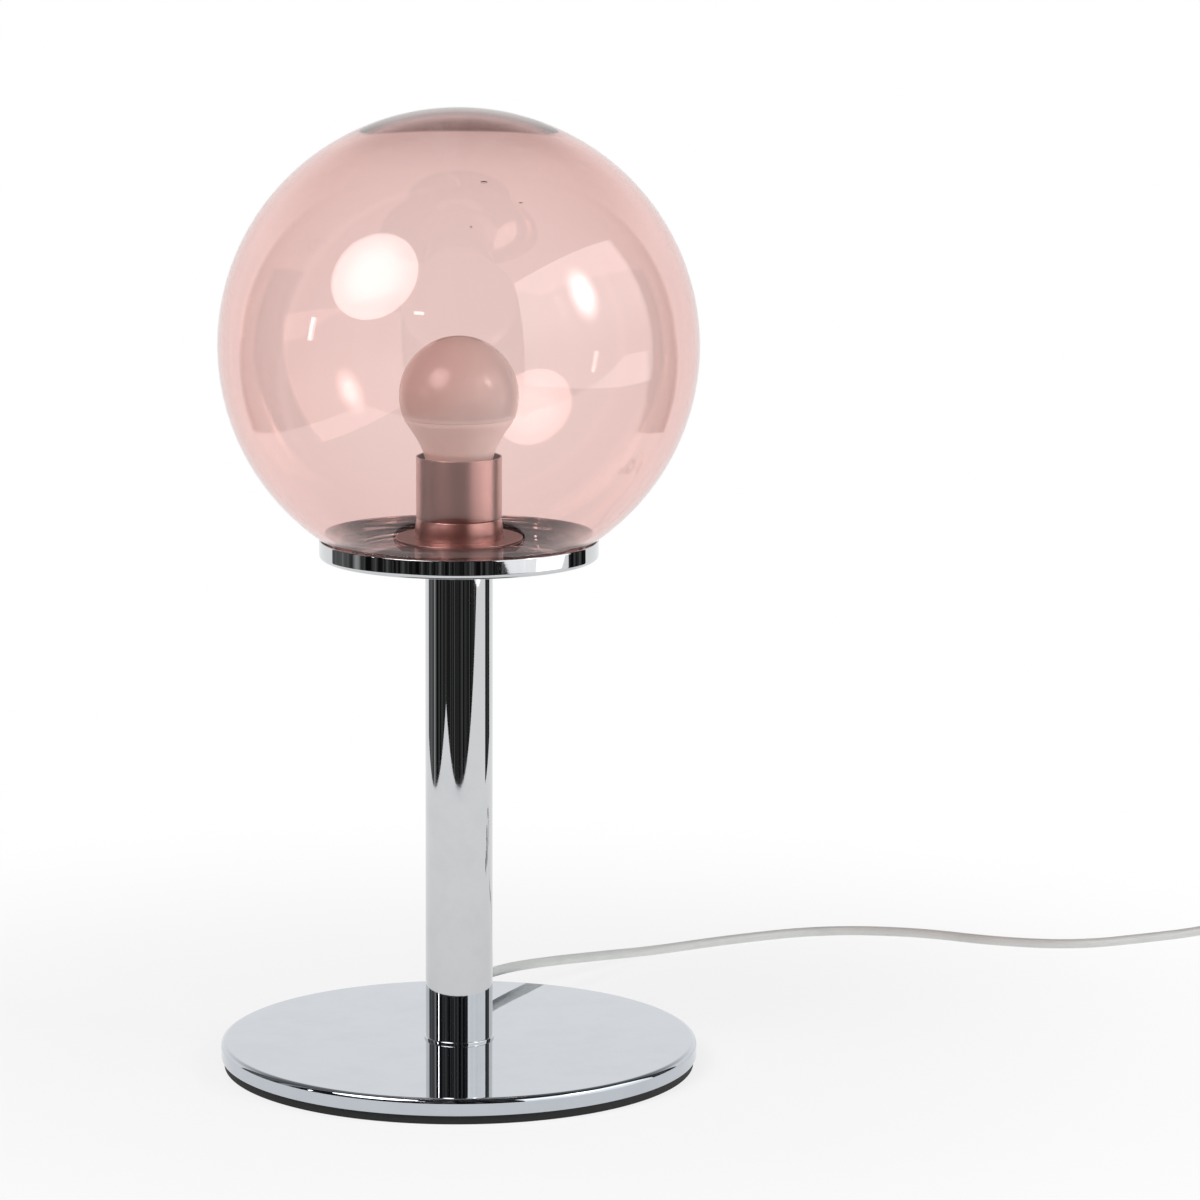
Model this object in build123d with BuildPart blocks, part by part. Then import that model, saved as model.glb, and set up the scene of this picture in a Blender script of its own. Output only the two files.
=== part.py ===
from build123d import *
import math
import os

# A table lamp with a blown glass globe that rests, mouth down, in a chromed tray on a tube stem.
# The stem stands on a heavy chromed disc. The flex leaves the stem's back and lies on the table.
# Millimetres, +Z up. The origin is on the table, under the stem's axis. -Y is the lamp's front.

# ---------------------------------------------------------------- driving sizes
# Base
base_width = 241.8
plate_thickness = 8.9
plate_edge = 1.2
pad_thickness = 4.2
pad_inset = 1.6
bolt_size = 10.0
bolt_head_height = 4.0
bolt_head_width = 17.0
washer_thickness = 1.0

# Stem
stem_width = 34.0
stem_wall = 1.5
stem_length = 245.7
foot_ring_thickness = 1.3
foot_ring_lip = 0.7
foot_plug_height = 6.3
head_plug_height = 6.0

# Tray
tray_width = 140.2
tray_height = 9.5
tray_wall = 1.2
tray_floor_thickness = 2.4
tray_lip_rounding = 2.2

# Globe
globe_width = 240.0
globe_full_height = 236.8
glass_wall = 3.0
seat_height = 2.1
seat_lip = 1.8

# Lamp holder, for an E27 bulb
cup_width = 44.6
cup_wall = 1.0
cup_height = 18.0
cup_neck_depth = 16.5
cup_floor = 2.0
spigot_height = 5.0
sleeve_width = 43.0
sleeve_wall = 0.8
sleeve_length = 30.8
flange_width = 64.0
flange_thickness = 1.4
flange_height = 6.6
core_height = 28.0
core_floor = 3.3
socket_bore = 29.2
shell_wall = 0.6
shell_length = 22.5
nipple_size = 10.0
nipple_bore = 8.0
nut_width = 14.0
nut_thickness = 2.5

# Bulb
bulb_width = 60.0
bulb_length = 105.0
bulb_cap_width = 26.2
bulb_cap_length = 22.6
bulb_skin = 1.2
dome_seam_drop = 10.8
thread_turns = 3

# Flex and what is on it
cord_width = 5.2
exit_above_plate = 11.4
bushing_length = 23.0
switch_length = 60.0
switch_width = 24.0
switch_height = 15.0
switch_wall = 1.8
switch_corner = 3.0
rocker_length = 17.0
rocker_width = 10.0
rocker_tilt = 8.0
plug_width = 35.3
plug_thickness = 13.7
plug_length = 33.0
pin_spacing = 18.6
pin_width = 4.0
pin_length = 19.0

# Clearances
fit_gap = 0.05        # between pieces that are pressed or screwed together
loose_gap = 0.2       # between pieces of one body that slip over each other
glass_gap = 0.3       # between the globe and the tray's rim
moving_gap = 0.4      # round the pieces that move

# ---------------------------------------------------------------- levels and radii
cord_radius = cord_width / 2
base_radius = base_width / 2
plate_top = pad_thickness + plate_thickness
stem_radius = stem_width / 2
stem_bore = stem_radius - stem_wall
stem_bottom = plate_top + foot_ring_thickness
stem_top = stem_bottom + stem_length
exit_level = plate_top + exit_above_plate

tray_radius = tray_width / 2
tray_bore = tray_radius - tray_wall
tray_floor = stem_top + tray_floor_thickness
rim_top = stem_top + tray_height

globe_radius = globe_width / 2
globe_rise = globe_full_height / 2
rim_share = (tray_bore - glass_gap) / globe_radius
globe_centre = rim_top + globe_rise * math.sqrt(1 - rim_share**2)
mouth_level = tray_floor + seat_height


def glass_radius(level, inwards=0.0):
    """Radius of the glass at a level, on its outer face or that far inwards."""
    height = (level - globe_centre) / (globe_rise - inwards)
    return (globe_radius - inwards) * math.sqrt(1 - height**2)


cup_radius = cup_width / 2
neck_radius = stem_bore - 0.7
neck_bore = neck_radius - cup_wall
neck_bottom = tray_floor - cup_neck_depth
cup_top = tray_floor + cup_height
sleeve_radius = sleeve_width / 2
sleeve_bore = sleeve_radius - sleeve_wall
sleeve_bottom = cup_top + loose_gap
sleeve_top = sleeve_bottom + sleeve_length
flange_level = tray_floor + flange_height
head_plug_top = neck_bottom - 2.0
head_plug_bottom = head_plug_top - head_plug_height

core_bottom = tray_floor + cup_wall
core_top = core_bottom + core_height
core_radius = sleeve_bore - cup_wall - 2 * loose_gap - 0.4
boss_radius = neck_bore - 2 * loose_gap
boss_bottom = neck_bottom + cup_floor + nut_thickness + 0.5
chamber_radius = boss_radius - 1.9
chamber_top = core_bottom - 1.5
socket_floor = chamber_top + core_floor
shell_radius = socket_bore / 2 - loose_gap
shell_bottom = socket_floor + 2.7

tip_bottom = socket_floor + 1.5
bulb_top = tip_bottom + bulb_length
dome_centre = bulb_top - bulb_width / 2
seam_level = dome_centre - dome_seam_drop
seam_radius = math.sqrt((bulb_width / 2) ** 2 - dome_seam_drop**2)
cap_radius = bulb_cap_width / 2
cap_bottom = tip_bottom + 3.1
cap_top = cap_bottom + bulb_cap_length

# ---------------------------------------------------------------- helpers
section_plane = Plane.XZ


def export(piece, name):
    """Label a finished piece and write it as its own STEP file."""
    piece.part.label = name
    export_step(piece.part, f"parts/{name}.step")


def bend_radii(points):
    """The largest arc that both runs allow at each inner point of a cord's route."""
    radii = []
    for before, at, after in zip(points, points[1:], points[2:]):
        run_in = Vector(*at) - Vector(*before)
        run_out = Vector(*after) - Vector(*at)
        half_turn = math.radians(run_in.get_angle(run_out)) / 2
        shorter = min(run_in.length, run_out.length)
        radii.append(0.45 * shorter / math.tan(half_turn))
    return radii


def report_cord(name, piece, route, radii):
    """Print a cord's bends, and its volume beside its section times its length."""
    section = math.pi * cord_radius**2
    print(name, "length", round(route.length, 1), "radii", [round(r, 1) for r in radii],
          "volume", round(piece.part.volume), "expected", round(section * route.length))


os.makedirs("parts", exist_ok=True)

# ---------------------------------------------------------------- base
with BuildPart() as base_plate:
    with BuildSketch(Plane.XY.offset(pad_thickness)):
        Circle(base_radius)
    extrude(amount=plate_thickness)
    rims = base_plate.edges().filter_by(GeomType.CIRCLE).sort_by(Axis.Z)
    chamfer(rims[-1], plate_edge)
    chamfer(rims[0], plate_edge * 0.6)
    with Locations(Location((0, 0, pad_thickness), (180, 0, 0))):
        CounterBoreHole(
            radius=bolt_size / 2 + loose_gap,
            counter_bore_radius=bolt_head_width * 0.7,
            counter_bore_depth=bolt_head_height + washer_thickness,
        )
export(base_plate, "base_plate")

with BuildPart() as base_pad:
    with BuildSketch(Plane.XY):
        Circle(base_radius - pad_inset)
        Circle(bolt_head_width, mode=Mode.SUBTRACT)
    extrude(amount=pad_thickness)
    chamfer(base_pad.edges().group_by(Axis.Z)[0], 0.4)
export(base_pad, "base_pad")

head_bottom = pad_thickness
shank_bottom = head_bottom + bolt_head_height
with BuildPart() as base_bolt:
    with BuildSketch(Plane.XY.offset(head_bottom)):
        RegularPolygon(bolt_head_width / 2, 6, major_radius=False)
    extrude(amount=bolt_head_height)
    with BuildSketch(Plane.XY.offset(shank_bottom)):
        Circle(bolt_size / 2 - fit_gap)
    extrude(amount=plate_top + foot_plug_height - shank_bottom - 0.5)
    chamfer(base_bolt.edges().filter_by(GeomType.CIRCLE).sort_by(Axis.Z)[-1], 1.0)
export(base_bolt, "base_bolt")

with BuildPart() as base_washer:
    with BuildSketch(Plane.XY.offset(shank_bottom)):
        Circle(bolt_head_width * 0.62)
        Circle(bolt_size / 2 + loose_gap, mode=Mode.SUBTRACT)
    extrude(amount=washer_thickness)
export(base_washer, "base_washer")

# ---------------------------------------------------------------- stem
with BuildPart() as stem_foot:
    with BuildSketch(Plane.XY.offset(plate_top)):
        Circle(stem_bore - fit_gap)
        Circle(bolt_size / 2, mode=Mode.SUBTRACT)
    extrude(amount=foot_plug_height)
export(stem_foot, "stem_foot")

with BuildPart() as stem_ring:
    with BuildSketch(Plane.XY.offset(plate_top)):
        Circle(stem_radius + foot_ring_lip)
        Circle(stem_bore, mode=Mode.SUBTRACT)
    extrude(amount=foot_ring_thickness)
    chamfer(stem_ring.edges().group_by(Axis.Z)[-1].sort_by(SortBy.LENGTH)[-1], 0.5)
export(stem_ring, "stem_ring")

bushing_radius = cord_radius + 1.7
with BuildPart() as stem_tube:
    with BuildSketch(Plane.XY.offset(stem_bottom)):
        Circle(stem_radius)
        Circle(stem_bore, mode=Mode.SUBTRACT)
    extrude(amount=stem_length)
    with BuildSketch(Plane.XZ.offset(-stem_radius)):
        with Locations((0, exit_level)):
            Circle(bushing_radius + fit_gap)
    extrude(amount=stem_radius, mode=Mode.SUBTRACT)
export(stem_tube, "stem_tube")

with BuildPart() as stem_head:
    with BuildSketch(Plane.XY.offset(head_plug_bottom)):
        Circle(stem_bore - fit_gap)
        Circle(nipple_size / 2, mode=Mode.SUBTRACT)
    extrude(amount=head_plug_height)
export(stem_head, "stem_head")

nipple_bottom = head_plug_bottom - nut_thickness - 1.5
nipple_top = neck_bottom + cup_floor + nut_thickness + 0.3
with BuildPart() as holder_nipple:
    with BuildSketch(Plane.XY.offset(nipple_bottom)):
        Circle(nipple_size / 2 - fit_gap)
        Circle(nipple_bore / 2, mode=Mode.SUBTRACT)
    extrude(amount=nipple_top - nipple_bottom)
export(holder_nipple, "holder_nipple")

nut_levels = (head_plug_bottom - nut_thickness, neck_bottom + cup_floor)
with BuildPart() as nipple_nuts:
    for level in nut_levels:
        with BuildSketch(Plane.XY.offset(level)):
            RegularPolygon(nut_width / 2, 6, major_radius=False)
            Circle(nipple_size / 2, mode=Mode.SUBTRACT)
        extrude(amount=nut_thickness)
export(nipple_nuts, "nipple_nuts")

# ---------------------------------------------------------------- tray and globe
with BuildPart() as collar_tray:
    with BuildSketch(section_plane):
        with BuildLine():
            Polyline(
                (neck_radius + loose_gap, stem_top),
                (tray_radius, stem_top),
                (tray_radius, rim_top),
                (tray_bore, rim_top),
                (tray_bore, tray_floor),
                (neck_radius + loose_gap, tray_floor),
                close=True,
            )
        make_face()
    revolve(axis=Axis.Z)
    rings = collar_tray.edges().filter_by(GeomType.CIRCLE)
    under_edge = rings.group_by(Axis.Z)[0].sort_by(SortBy.RADIUS)[-1]
    fillet(under_edge, tray_lip_rounding)
    rings = collar_tray.edges().filter_by(GeomType.CIRCLE)
    chamfer(rings.group_by(Axis.Z)[-1], tray_wall * 0.25)
export(collar_tray, "collar_tray")

mouth_radius = glass_radius(mouth_level)
mouth_bore = glass_radius(mouth_level, glass_wall)
with BuildPart() as globe_seat:
    with BuildSketch(section_plane):
        with BuildLine():
            Polyline(
                (mouth_bore - 2.0, tray_floor),
                (mouth_radius + 1.0, tray_floor),
                (mouth_radius + 1.0, mouth_level),
                (mouth_bore - 0.6, mouth_level),
                (mouth_bore - 0.6, mouth_level + seat_lip),
                (mouth_bore - 2.0, mouth_level + seat_lip),
                close=True,
            )
        make_face()
    revolve(axis=Axis.Z)
export(globe_seat, "globe_seat")

# The globe is slightly wider than high. Its mouth is cut level and its two lips are melted round.
globe_plane = Plane(origin=(0, 0, globe_centre), x_dir=(1, 0, 0), z_dir=(0, -1, 0))
mouth_drop = globe_centre - mouth_level
inner_rise = globe_rise - glass_wall
outer_start = -math.degrees(math.asin(mouth_drop / globe_rise))
inner_start = -math.degrees(math.asin(mouth_drop / inner_rise))
with BuildPart() as glass_globe:
    with BuildSketch(globe_plane):
        with BuildLine():
            outside = EllipticalCenterArc(
                (0, 0), globe_radius, globe_rise, start_angle=outer_start, arc_size=90 - outer_start
            )
            inside = EllipticalCenterArc(
                (0, 0),
                globe_radius - glass_wall,
                inner_rise,
                start_angle=inner_start,
                arc_size=90 - inner_start,
            )
            Line(outside @ 1, inside @ 1)
            Line(outside @ 0, inside @ 0)
        make_face()
    revolve(axis=Axis.Z)
    lips = glass_globe.edges().filter_by(GeomType.CIRCLE).group_by(Axis.Z)[0]
    chamfer(lips, glass_wall * 0.25)
export(glass_globe, "glass_globe")

# ---------------------------------------------------------------- lamp holder
# The cup stands on the tray's floor. Its neck hangs through the tray into the stem's top.
bead_reach = 1.0
with BuildPart() as holder_cup:
    with BuildSketch(section_plane):
        with BuildLine():
            Polyline(
                (nipple_size / 2 + fit_gap, neck_bottom),
                (neck_radius, neck_bottom),
                (neck_radius, tray_floor),
                (cup_radius, tray_floor),
                (cup_radius, flange_level - 1.2),
                (cup_radius + bead_reach, flange_level - 0.8),
                (cup_radius + bead_reach, flange_level),
                (cup_radius, flange_level),
                (cup_radius, flange_level + flange_thickness + 3.0),
                (sleeve_radius - 0.4, cup_top),
                (sleeve_bore - loose_gap, cup_top),
                (sleeve_bore - loose_gap, cup_top + spigot_height),
                (sleeve_bore - loose_gap - cup_wall, cup_top + spigot_height),
                (sleeve_bore - loose_gap - cup_wall, core_bottom),
                (neck_bore, core_bottom),
                (neck_bore, neck_bottom + cup_floor),
                (nipple_size / 2 + fit_gap, neck_bottom + cup_floor),
                close=True,
            )
        make_face()
    revolve(axis=Axis.Z)
export(holder_cup, "holder_cup")

with BuildPart() as holder_flange:
    with BuildSketch(Plane.XY.offset(flange_level)):
        Circle(flange_width / 2)
        Circle(cup_radius + loose_gap, mode=Mode.SUBTRACT)
    extrude(amount=flange_thickness)
    outer_rims = holder_flange.edges().filter_by(GeomType.CIRCLE).sort_by(SortBy.RADIUS)[-2:]
    chamfer(outer_rims, flange_thickness * 0.3)
export(holder_flange, "holder_flange")

with BuildPart() as holder_sleeve:
    with BuildSketch(Plane.XY.offset(sleeve_bottom)):
        Circle(sleeve_radius)
        Circle(sleeve_bore, mode=Mode.SUBTRACT)
    extrude(amount=sleeve_length)
    chamfer(holder_sleeve.edges().group_by(Axis.Z)[-1], sleeve_wall * 0.3)
export(holder_sleeve, "holder_sleeve")

rivet_offset = 0.56 * chamber_radius
rivet_radius = 1.2
with BuildPart() as holder_core:
    with BuildSketch(section_plane):
        with BuildLine():
            Polyline(
                (0, socket_floor),
                (0, chamber_top),
                (chamber_radius, chamber_top),
                (chamber_radius, boss_bottom),
                (boss_radius, boss_bottom),
                (boss_radius, core_bottom),
                (core_radius, core_bottom),
                (core_radius, core_top),
                (socket_bore / 2, core_top),
                (socket_bore / 2, socket_floor),
                close=True,
            )
        make_face()
    revolve(axis=Axis.Z)
    with BuildSketch(Plane.XY.offset(chamber_top)):
        with Locations((-rivet_offset, 0), (rivet_offset, 0)):
            Circle(rivet_radius + fit_gap)
    extrude(amount=core_floor, mode=Mode.SUBTRACT)
export(holder_core, "holder_core")

with BuildPart() as screw_shell:
    with BuildSketch(Plane.XY.offset(shell_bottom)):
        Circle(shell_radius)
        Circle(shell_radius - shell_wall, mode=Mode.SUBTRACT)
    extrude(amount=shell_length)
export(screw_shell, "screw_shell")

# The centre contact is a sprung strip: flat under its rivet, then arched up to the bulb's tip.
strip_thickness = 0.4
strip_width = 5.0
arch_top = tip_bottom - 0.3
with BuildPart() as centre_contact:
    with BuildSketch(Plane.XZ.offset(-strip_width / 2)):
        with BuildLine():
            Polyline(
                (-rivet_offset - 2.0, socket_floor),
                (-rivet_offset + 2.0, socket_floor),
                (-2.2, arch_top - strip_thickness),
                (2.2, arch_top - strip_thickness),
                (3.4, socket_floor + 0.3),
                (3.9, socket_floor + 0.5),
                (2.5, arch_top),
                (-2.5, arch_top),
                (-rivet_offset + 1.9, socket_floor + strip_thickness),
                (-rivet_offset - 2.0, socket_floor + strip_thickness),
                close=True,
            )
        make_face()
    extrude(amount=strip_width)
export(centre_contact, "centre_contact")

with BuildPart() as side_contact:
    with BuildSketch(Plane.XZ.offset(-strip_width / 2)):
        with BuildLine():
            Polyline(
                (rivet_offset - 1.8, socket_floor),
                (shell_radius - 0.2, socket_floor),
                (shell_radius - 0.2, shell_bottom),
                (shell_radius - 0.2 - strip_thickness, shell_bottom),
                (shell_radius - 0.2 - strip_thickness, socket_floor + strip_thickness),
                (rivet_offset - 1.8, socket_floor + strip_thickness),
                close=True,
            )
        make_face()
    extrude(amount=strip_width)
export(side_contact, "side_contact")

terminal_size = chamber_radius / 2
terminal_height = 7.5
terminal_bottom = chamber_top - terminal_height
with BuildPart() as terminal_blocks:
    with BuildSketch(Plane.XY.offset(terminal_bottom)):
        with Locations((-rivet_offset, 0), (rivet_offset, 0)):
            Rectangle(terminal_size, terminal_size)
    extrude(amount=terminal_height)
    with BuildSketch(Plane.XY.offset(chamber_top)):
        with Locations((-rivet_offset, 0), (rivet_offset, 0)):
            Circle(rivet_radius)
    extrude(amount=core_floor)
export(terminal_blocks, "terminal_blocks")

with BuildPart() as terminal_screws:
    with BuildSketch(Plane.XY.offset(terminal_bottom - 1.4)):
        with Locations((-rivet_offset, 0), (rivet_offset, 0)):
            Circle(1.9)
            Rectangle(4.2, 0.6, mode=Mode.SUBTRACT)
    extrude(amount=0.7)
    with BuildSketch(Plane.XY.offset(terminal_bottom - 0.7)):
        with Locations((-rivet_offset, 0), (rivet_offset, 0)):
            Circle(1.9)
    extrude(amount=0.7)
export(terminal_screws, "terminal_screws")

# ---------------------------------------------------------------- bulb
with BuildPart() as bulb_dome:
    with BuildSketch(section_plane):
        with BuildLine():
            Line((0, bulb_top), (0, bulb_top - bulb_skin))
            inner_arc = ThreePointArc(
                (0, bulb_top - bulb_skin),
                (bulb_width / 2 - bulb_skin, dome_centre),
                (
                    math.sqrt((bulb_width / 2 - bulb_skin) ** 2 - dome_seam_drop**2),
                    seam_level,
                ),
            )
            Line(inner_arc @ 1, (seam_radius, seam_level))
            ThreePointArc(
                (seam_radius, seam_level),
                (bulb_width / 2, dome_centre),
                (0, bulb_top),
            )
        make_face()
    revolve(axis=Axis.Z)
export(bulb_dome, "bulb_dome")

# The body flares from the screw cap to the dome's seam, like the real moulded heat spreader.
waist_level = cap_top + 18.0
waist_radius = 16.6
body_wall = 1.6
plug_in_cap = 7.0
board_thickness = 1.6
board_top = seam_level - 0.8
with BuildPart() as bulb_body:
    with BuildSketch(section_plane):
        with BuildLine():
            Polyline(
                (cap_radius - 0.5 - body_wall, cap_top - plug_in_cap),
                (cap_radius - 0.5, cap_top - plug_in_cap),
                (cap_radius - 0.5, cap_top + fit_gap),
                (cap_radius + 0.6, cap_top + fit_gap),
                (waist_radius, waist_level),
            )
            flare = Spline(
                (waist_radius, waist_level),
                (seam_radius - 0.2, seam_level - fit_gap),
                tangents=((0.30, 1.0), (0.55, 1.0)),
            )
            Polyline(
                flare @ 1,
                (seam_radius - 0.2 - body_wall, seam_level - fit_gap),
                (waist_radius - body_wall, waist_level),
                (cap_radius - 0.5 - body_wall, cap_top - plug_in_cap),
            )
        make_face()
    revolve(axis=Axis.Z)
export(bulb_body, "bulb_body")

with BuildPart() as bulb_cap:
    with BuildSketch(section_plane):
        with BuildLine():
            Polyline(
                (cap_radius - 2.0, cap_bottom),
                (cap_radius, cap_bottom + 2.0),
                (cap_radius, cap_top),
                (cap_radius - 0.4, cap_top),
                (cap_radius - 0.4, cap_bottom + 2.3),
                (cap_radius - 2.3, cap_bottom + 0.4),
                close=True,
            )
        make_face()
    revolve(axis=Axis.Z)
export(bulb_cap, "bulb_cap")

with BuildPart() as bulb_insulator:
    with BuildSketch(section_plane):
        with BuildLine():
            Polyline(
                (0, tip_bottom + 1.0),
                (4.9, tip_bottom + 1.0),
                (cap_radius - 2.4, cap_bottom - 0.3),
                (cap_radius - 2.4, cap_bottom + 0.3),
                (0, cap_bottom + 0.3),
                close=True,
            )
        make_face()
    revolve(axis=Axis.Z)
export(bulb_insulator, "bulb_insulator")

with BuildPart() as bulb_tip:
    with BuildSketch(Plane.XY.offset(tip_bottom)):
        Circle(4.6)
    extrude(amount=1.0)
    chamfer(bulb_tip.edges().group_by(Axis.Z)[0], 0.6)
export(bulb_tip, "bulb_tip")

board_radius = seam_radius - body_wall - 1.2
with BuildPart() as led_board:
    with BuildSketch(Plane.XY.offset(board_top - board_thickness)):
        Circle(board_radius - 0.6)
    extrude(amount=board_thickness)
export(led_board, "led_board")

with BuildPart() as led_chips:
    with BuildSketch(Plane.XY.offset(board_top)):
        with PolarLocations(board_radius * 0.62, 10):
            Rectangle(3.0, 3.0)
    extrude(amount=0.6)
export(led_chips, "led_chips")

with BuildPart() as driver_board:
    with BuildSketch(Plane.XZ.offset(-0.6)):
        with Locations((0, (cap_bottom + 5 + board_top - board_thickness) / 2)):
            Rectangle(16.0, board_top - board_thickness - cap_bottom - 5)
    extrude(amount=1.2)
export(driver_board, "driver_board")

# ---------------------------------------------------------------- flex inside the stem
# It bends up along the tube's front wall and leans back, so that it passes through the nipple.
exit_point = (0, stem_radius + bushing_length, exit_level)
cord_lean = stem_bore - cord_radius - 3.0
inner_end = boss_bottom + 1.5
inner_bend = 4 * cord_width
nipple_middle = (nipple_bottom + nipple_top) / 2
slant = cord_lean / (nipple_middle - exit_level)
inner_points = [
    exit_point,
    (0, -cord_lean, exit_level),
    (0, slant * (inner_end - nipple_middle), inner_end - slant * cord_radius),
]
with BuildPart() as inner_cord:
    with BuildLine() as inner_route:
        FilletPolyline(*inner_points, radius=inner_bend)
    with BuildSketch(Plane(origin=exit_point, z_dir=(0, -1, 0))):
        Circle(cord_radius)
    sweep(path=inner_route.wire())
export(inner_cord, "inner_cord")
report_cord("inner_cord", inner_cord, inner_route.wire(), [inner_bend])

wire_radius = 0.9
wire_offset = wire_radius + 0.15
terminal_face = rivet_offset - terminal_size / 2
with BuildPart() as core_wires:
    for side in (-1, 1):
        with BuildLine() as wire_route:
            Polyline(
                (side * wire_offset, 0, inner_end),
                (side * wire_offset, 0, terminal_bottom + 4.0),
                (side * terminal_face, 0, terminal_bottom + 4.0),
            )
        with BuildSketch(Plane.XY.offset(inner_end)):
            with Locations((side * wire_offset, 0)):
                Circle(wire_radius)
        sweep(path=wire_route.wire(), transition=Transition.RIGHT)
export(core_wires, "core_wires")

# The bushing is a revolved sleeve: a lip inside the tube, a collar outside and a tapered tail.
bushing_plane = Plane(origin=(0, stem_radius, exit_level), x_dir=(0, 0, 1), z_dir=(1, 0, 0))
bushing_bore = cord_radius + fit_gap
with BuildPart() as cord_bushing:
    with BuildSketch(bushing_plane):
        with BuildLine():
            Polyline(
                (bushing_bore, -bushing_length),
                (bushing_bore + 1.0, -bushing_length),
                (bushing_radius + 0.9, -2.2),
                (bushing_radius + 1.6, -2.2),
                (bushing_radius + 1.6, -0.6),
                (bushing_radius, -0.6),
                (bushing_radius, stem_wall + 1.2),
                (bushing_radius + 0.5, stem_wall + 1.2),
                (bushing_radius + 0.2, stem_wall + 2.8),
                (bushing_bore, stem_wall + 2.8),
                close=True,
            )
        make_face()
    bushing_axis = Axis((0, 0, exit_level), (0, 1, 0))
    revolve(axis=bushing_axis)
export(cord_bushing, "cord_bushing")

# ---------------------------------------------------------------- flex on the table
# The points follow the flex over the disc's back edge and along the table to the switch.
on_table = cord_radius
switch_axis_level = switch_height / 2 - 0.5
switch_entry = (452.0, 272.0, switch_axis_level)
run_points = [
    exit_point,
    (exit_point[0], exit_point[1] + 26.0, exit_level),
    (22.0, 109.0, 21.8),
    (45.0, 139.0, 18.2),
    (75.0, 183.0, 10.6),
    (107.0, 225.0, 3.4),
    (151.0, 254.5, on_table),
    (204.0, 277.5, on_table),
    (257.0, 272.5, on_table),
    (302.0, 248.0, on_table),
    (346.0, 240.0, on_table),
    (388.0, 257.0, on_table),
    (417.0, 269.5, 3.0),
    (437.0, switch_entry[1], switch_axis_level),
    switch_entry,
]
run_radii = bend_radii(run_points)
with BuildPart() as cord_run:
    with BuildLine() as run_route:
        FilletPolyline(*run_points, radius=run_radii)
    with BuildSketch(Plane(origin=exit_point, z_dir=run_route.wire() % 0)):
        Circle(cord_radius)
    sweep(path=run_route.wire())
export(cord_run, "cord_run")
report_cord("cord_run", cord_run, run_route.wire(), run_radii)

# ---------------------------------------------------------------- put-away coil of flex
# It spirals in on the table, climbs a layer in the half turn where it reverses, and spirals out.
coil_turns = 5.25
coil_step = cord_width + 0.55
coil_centre = (478.0, 172.0)
coil_start_angle = 90.0
coil_middle_radius = 28.9
coil_outer = coil_middle_radius + coil_step * coil_turns / 4
spans_per_turn = 2


def coil_place(turn):
    """Centreline point of the coil after a number of turns."""
    from_reversal = turn - coil_turns / 2
    radius = coil_outer - coil_step * (coil_turns / 2 - abs(from_reversal))
    climb = min(max(from_reversal / 0.5 + 0.5, 0.0), 1.0)
    angle = math.radians(coil_start_angle + 360 * turn)
    level = on_table + coil_step * (3 * climb**2 - 2 * climb**3)
    return Vector(
        coil_centre[0] + radius * math.cos(angle),
        coil_centre[1] + radius * math.sin(angle),
        level,
    )


def coil_heading(turn):
    """Unit direction of the coil's centreline, square to the radius at its two ends."""
    angle = math.radians(coil_start_angle + 360 * turn)
    if turn <= 0 or turn >= coil_turns:
        return Vector(-math.sin(angle), math.cos(angle), 0)
    step = 0.001
    return (coil_place(turn + step) - coil_place(turn - step)).normalized()


def biarc(start, start_heading, end, end_heading):
    """Two arcs that meet smoothly and leave and arrive along the two headings."""
    chord = end - start
    headings = start_heading + end_heading
    slack = 2 * (1 - start_heading.dot(end_heading))
    across = chord.dot(headings)
    reach = (math.sqrt(across**2 + slack * chord.dot(chord)) - across) / slack
    first = start + start_heading * reach
    second = end - end_heading * reach
    middle = (first + second) * 0.5
    TangentArc(start, middle, tangent=start_heading)
    TangentArc(middle, end, tangent=(second - first).normalized())


coil_spans = round(coil_turns * spans_per_turn)
coil_marks = [i * coil_turns / coil_spans for i in range(coil_spans + 1)]
coil_start = coil_place(0) - coil_heading(0) * cord_width
coil_end = coil_place(coil_turns) + coil_heading(coil_turns) * cord_width
with BuildPart() as cord_coil:
    with BuildLine() as coil_route:
        Line(coil_start, coil_place(0))
        for here, there in zip(coil_marks, coil_marks[1:]):
            biarc(coil_place(here), coil_heading(here), coil_place(there), coil_heading(there))
        Line(coil_place(coil_turns), coil_end)
    with BuildSketch(Plane(origin=coil_start, z_dir=coil_heading(0))):
        Circle(cord_radius)
    sweep(path=coil_route.wire())
export(cord_coil, "cord_coil")
report_cord("cord_coil", cord_coil, coil_route.wire(), [coil_outer - coil_step * coil_turns / 2])


def least_gap(route, spacing=1.5):
    """Least clear distance between the coil's turns, on points along its centreline."""
    count = int(route.length / spacing)
    places = [route @ (i / count) for i in range(count + 1)]
    apart = int(0.4 * math.pi * 2 * coil_middle_radius / spacing)
    nearest = min(
        (places[i] - places[j]).length
        for i in range(0, count + 1, 2)
        for j in range(i + apart, count + 1)
    )
    return nearest - cord_width


print("coil's least gap to itself", round(least_gap(coil_route.wire()), 2))

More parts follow.
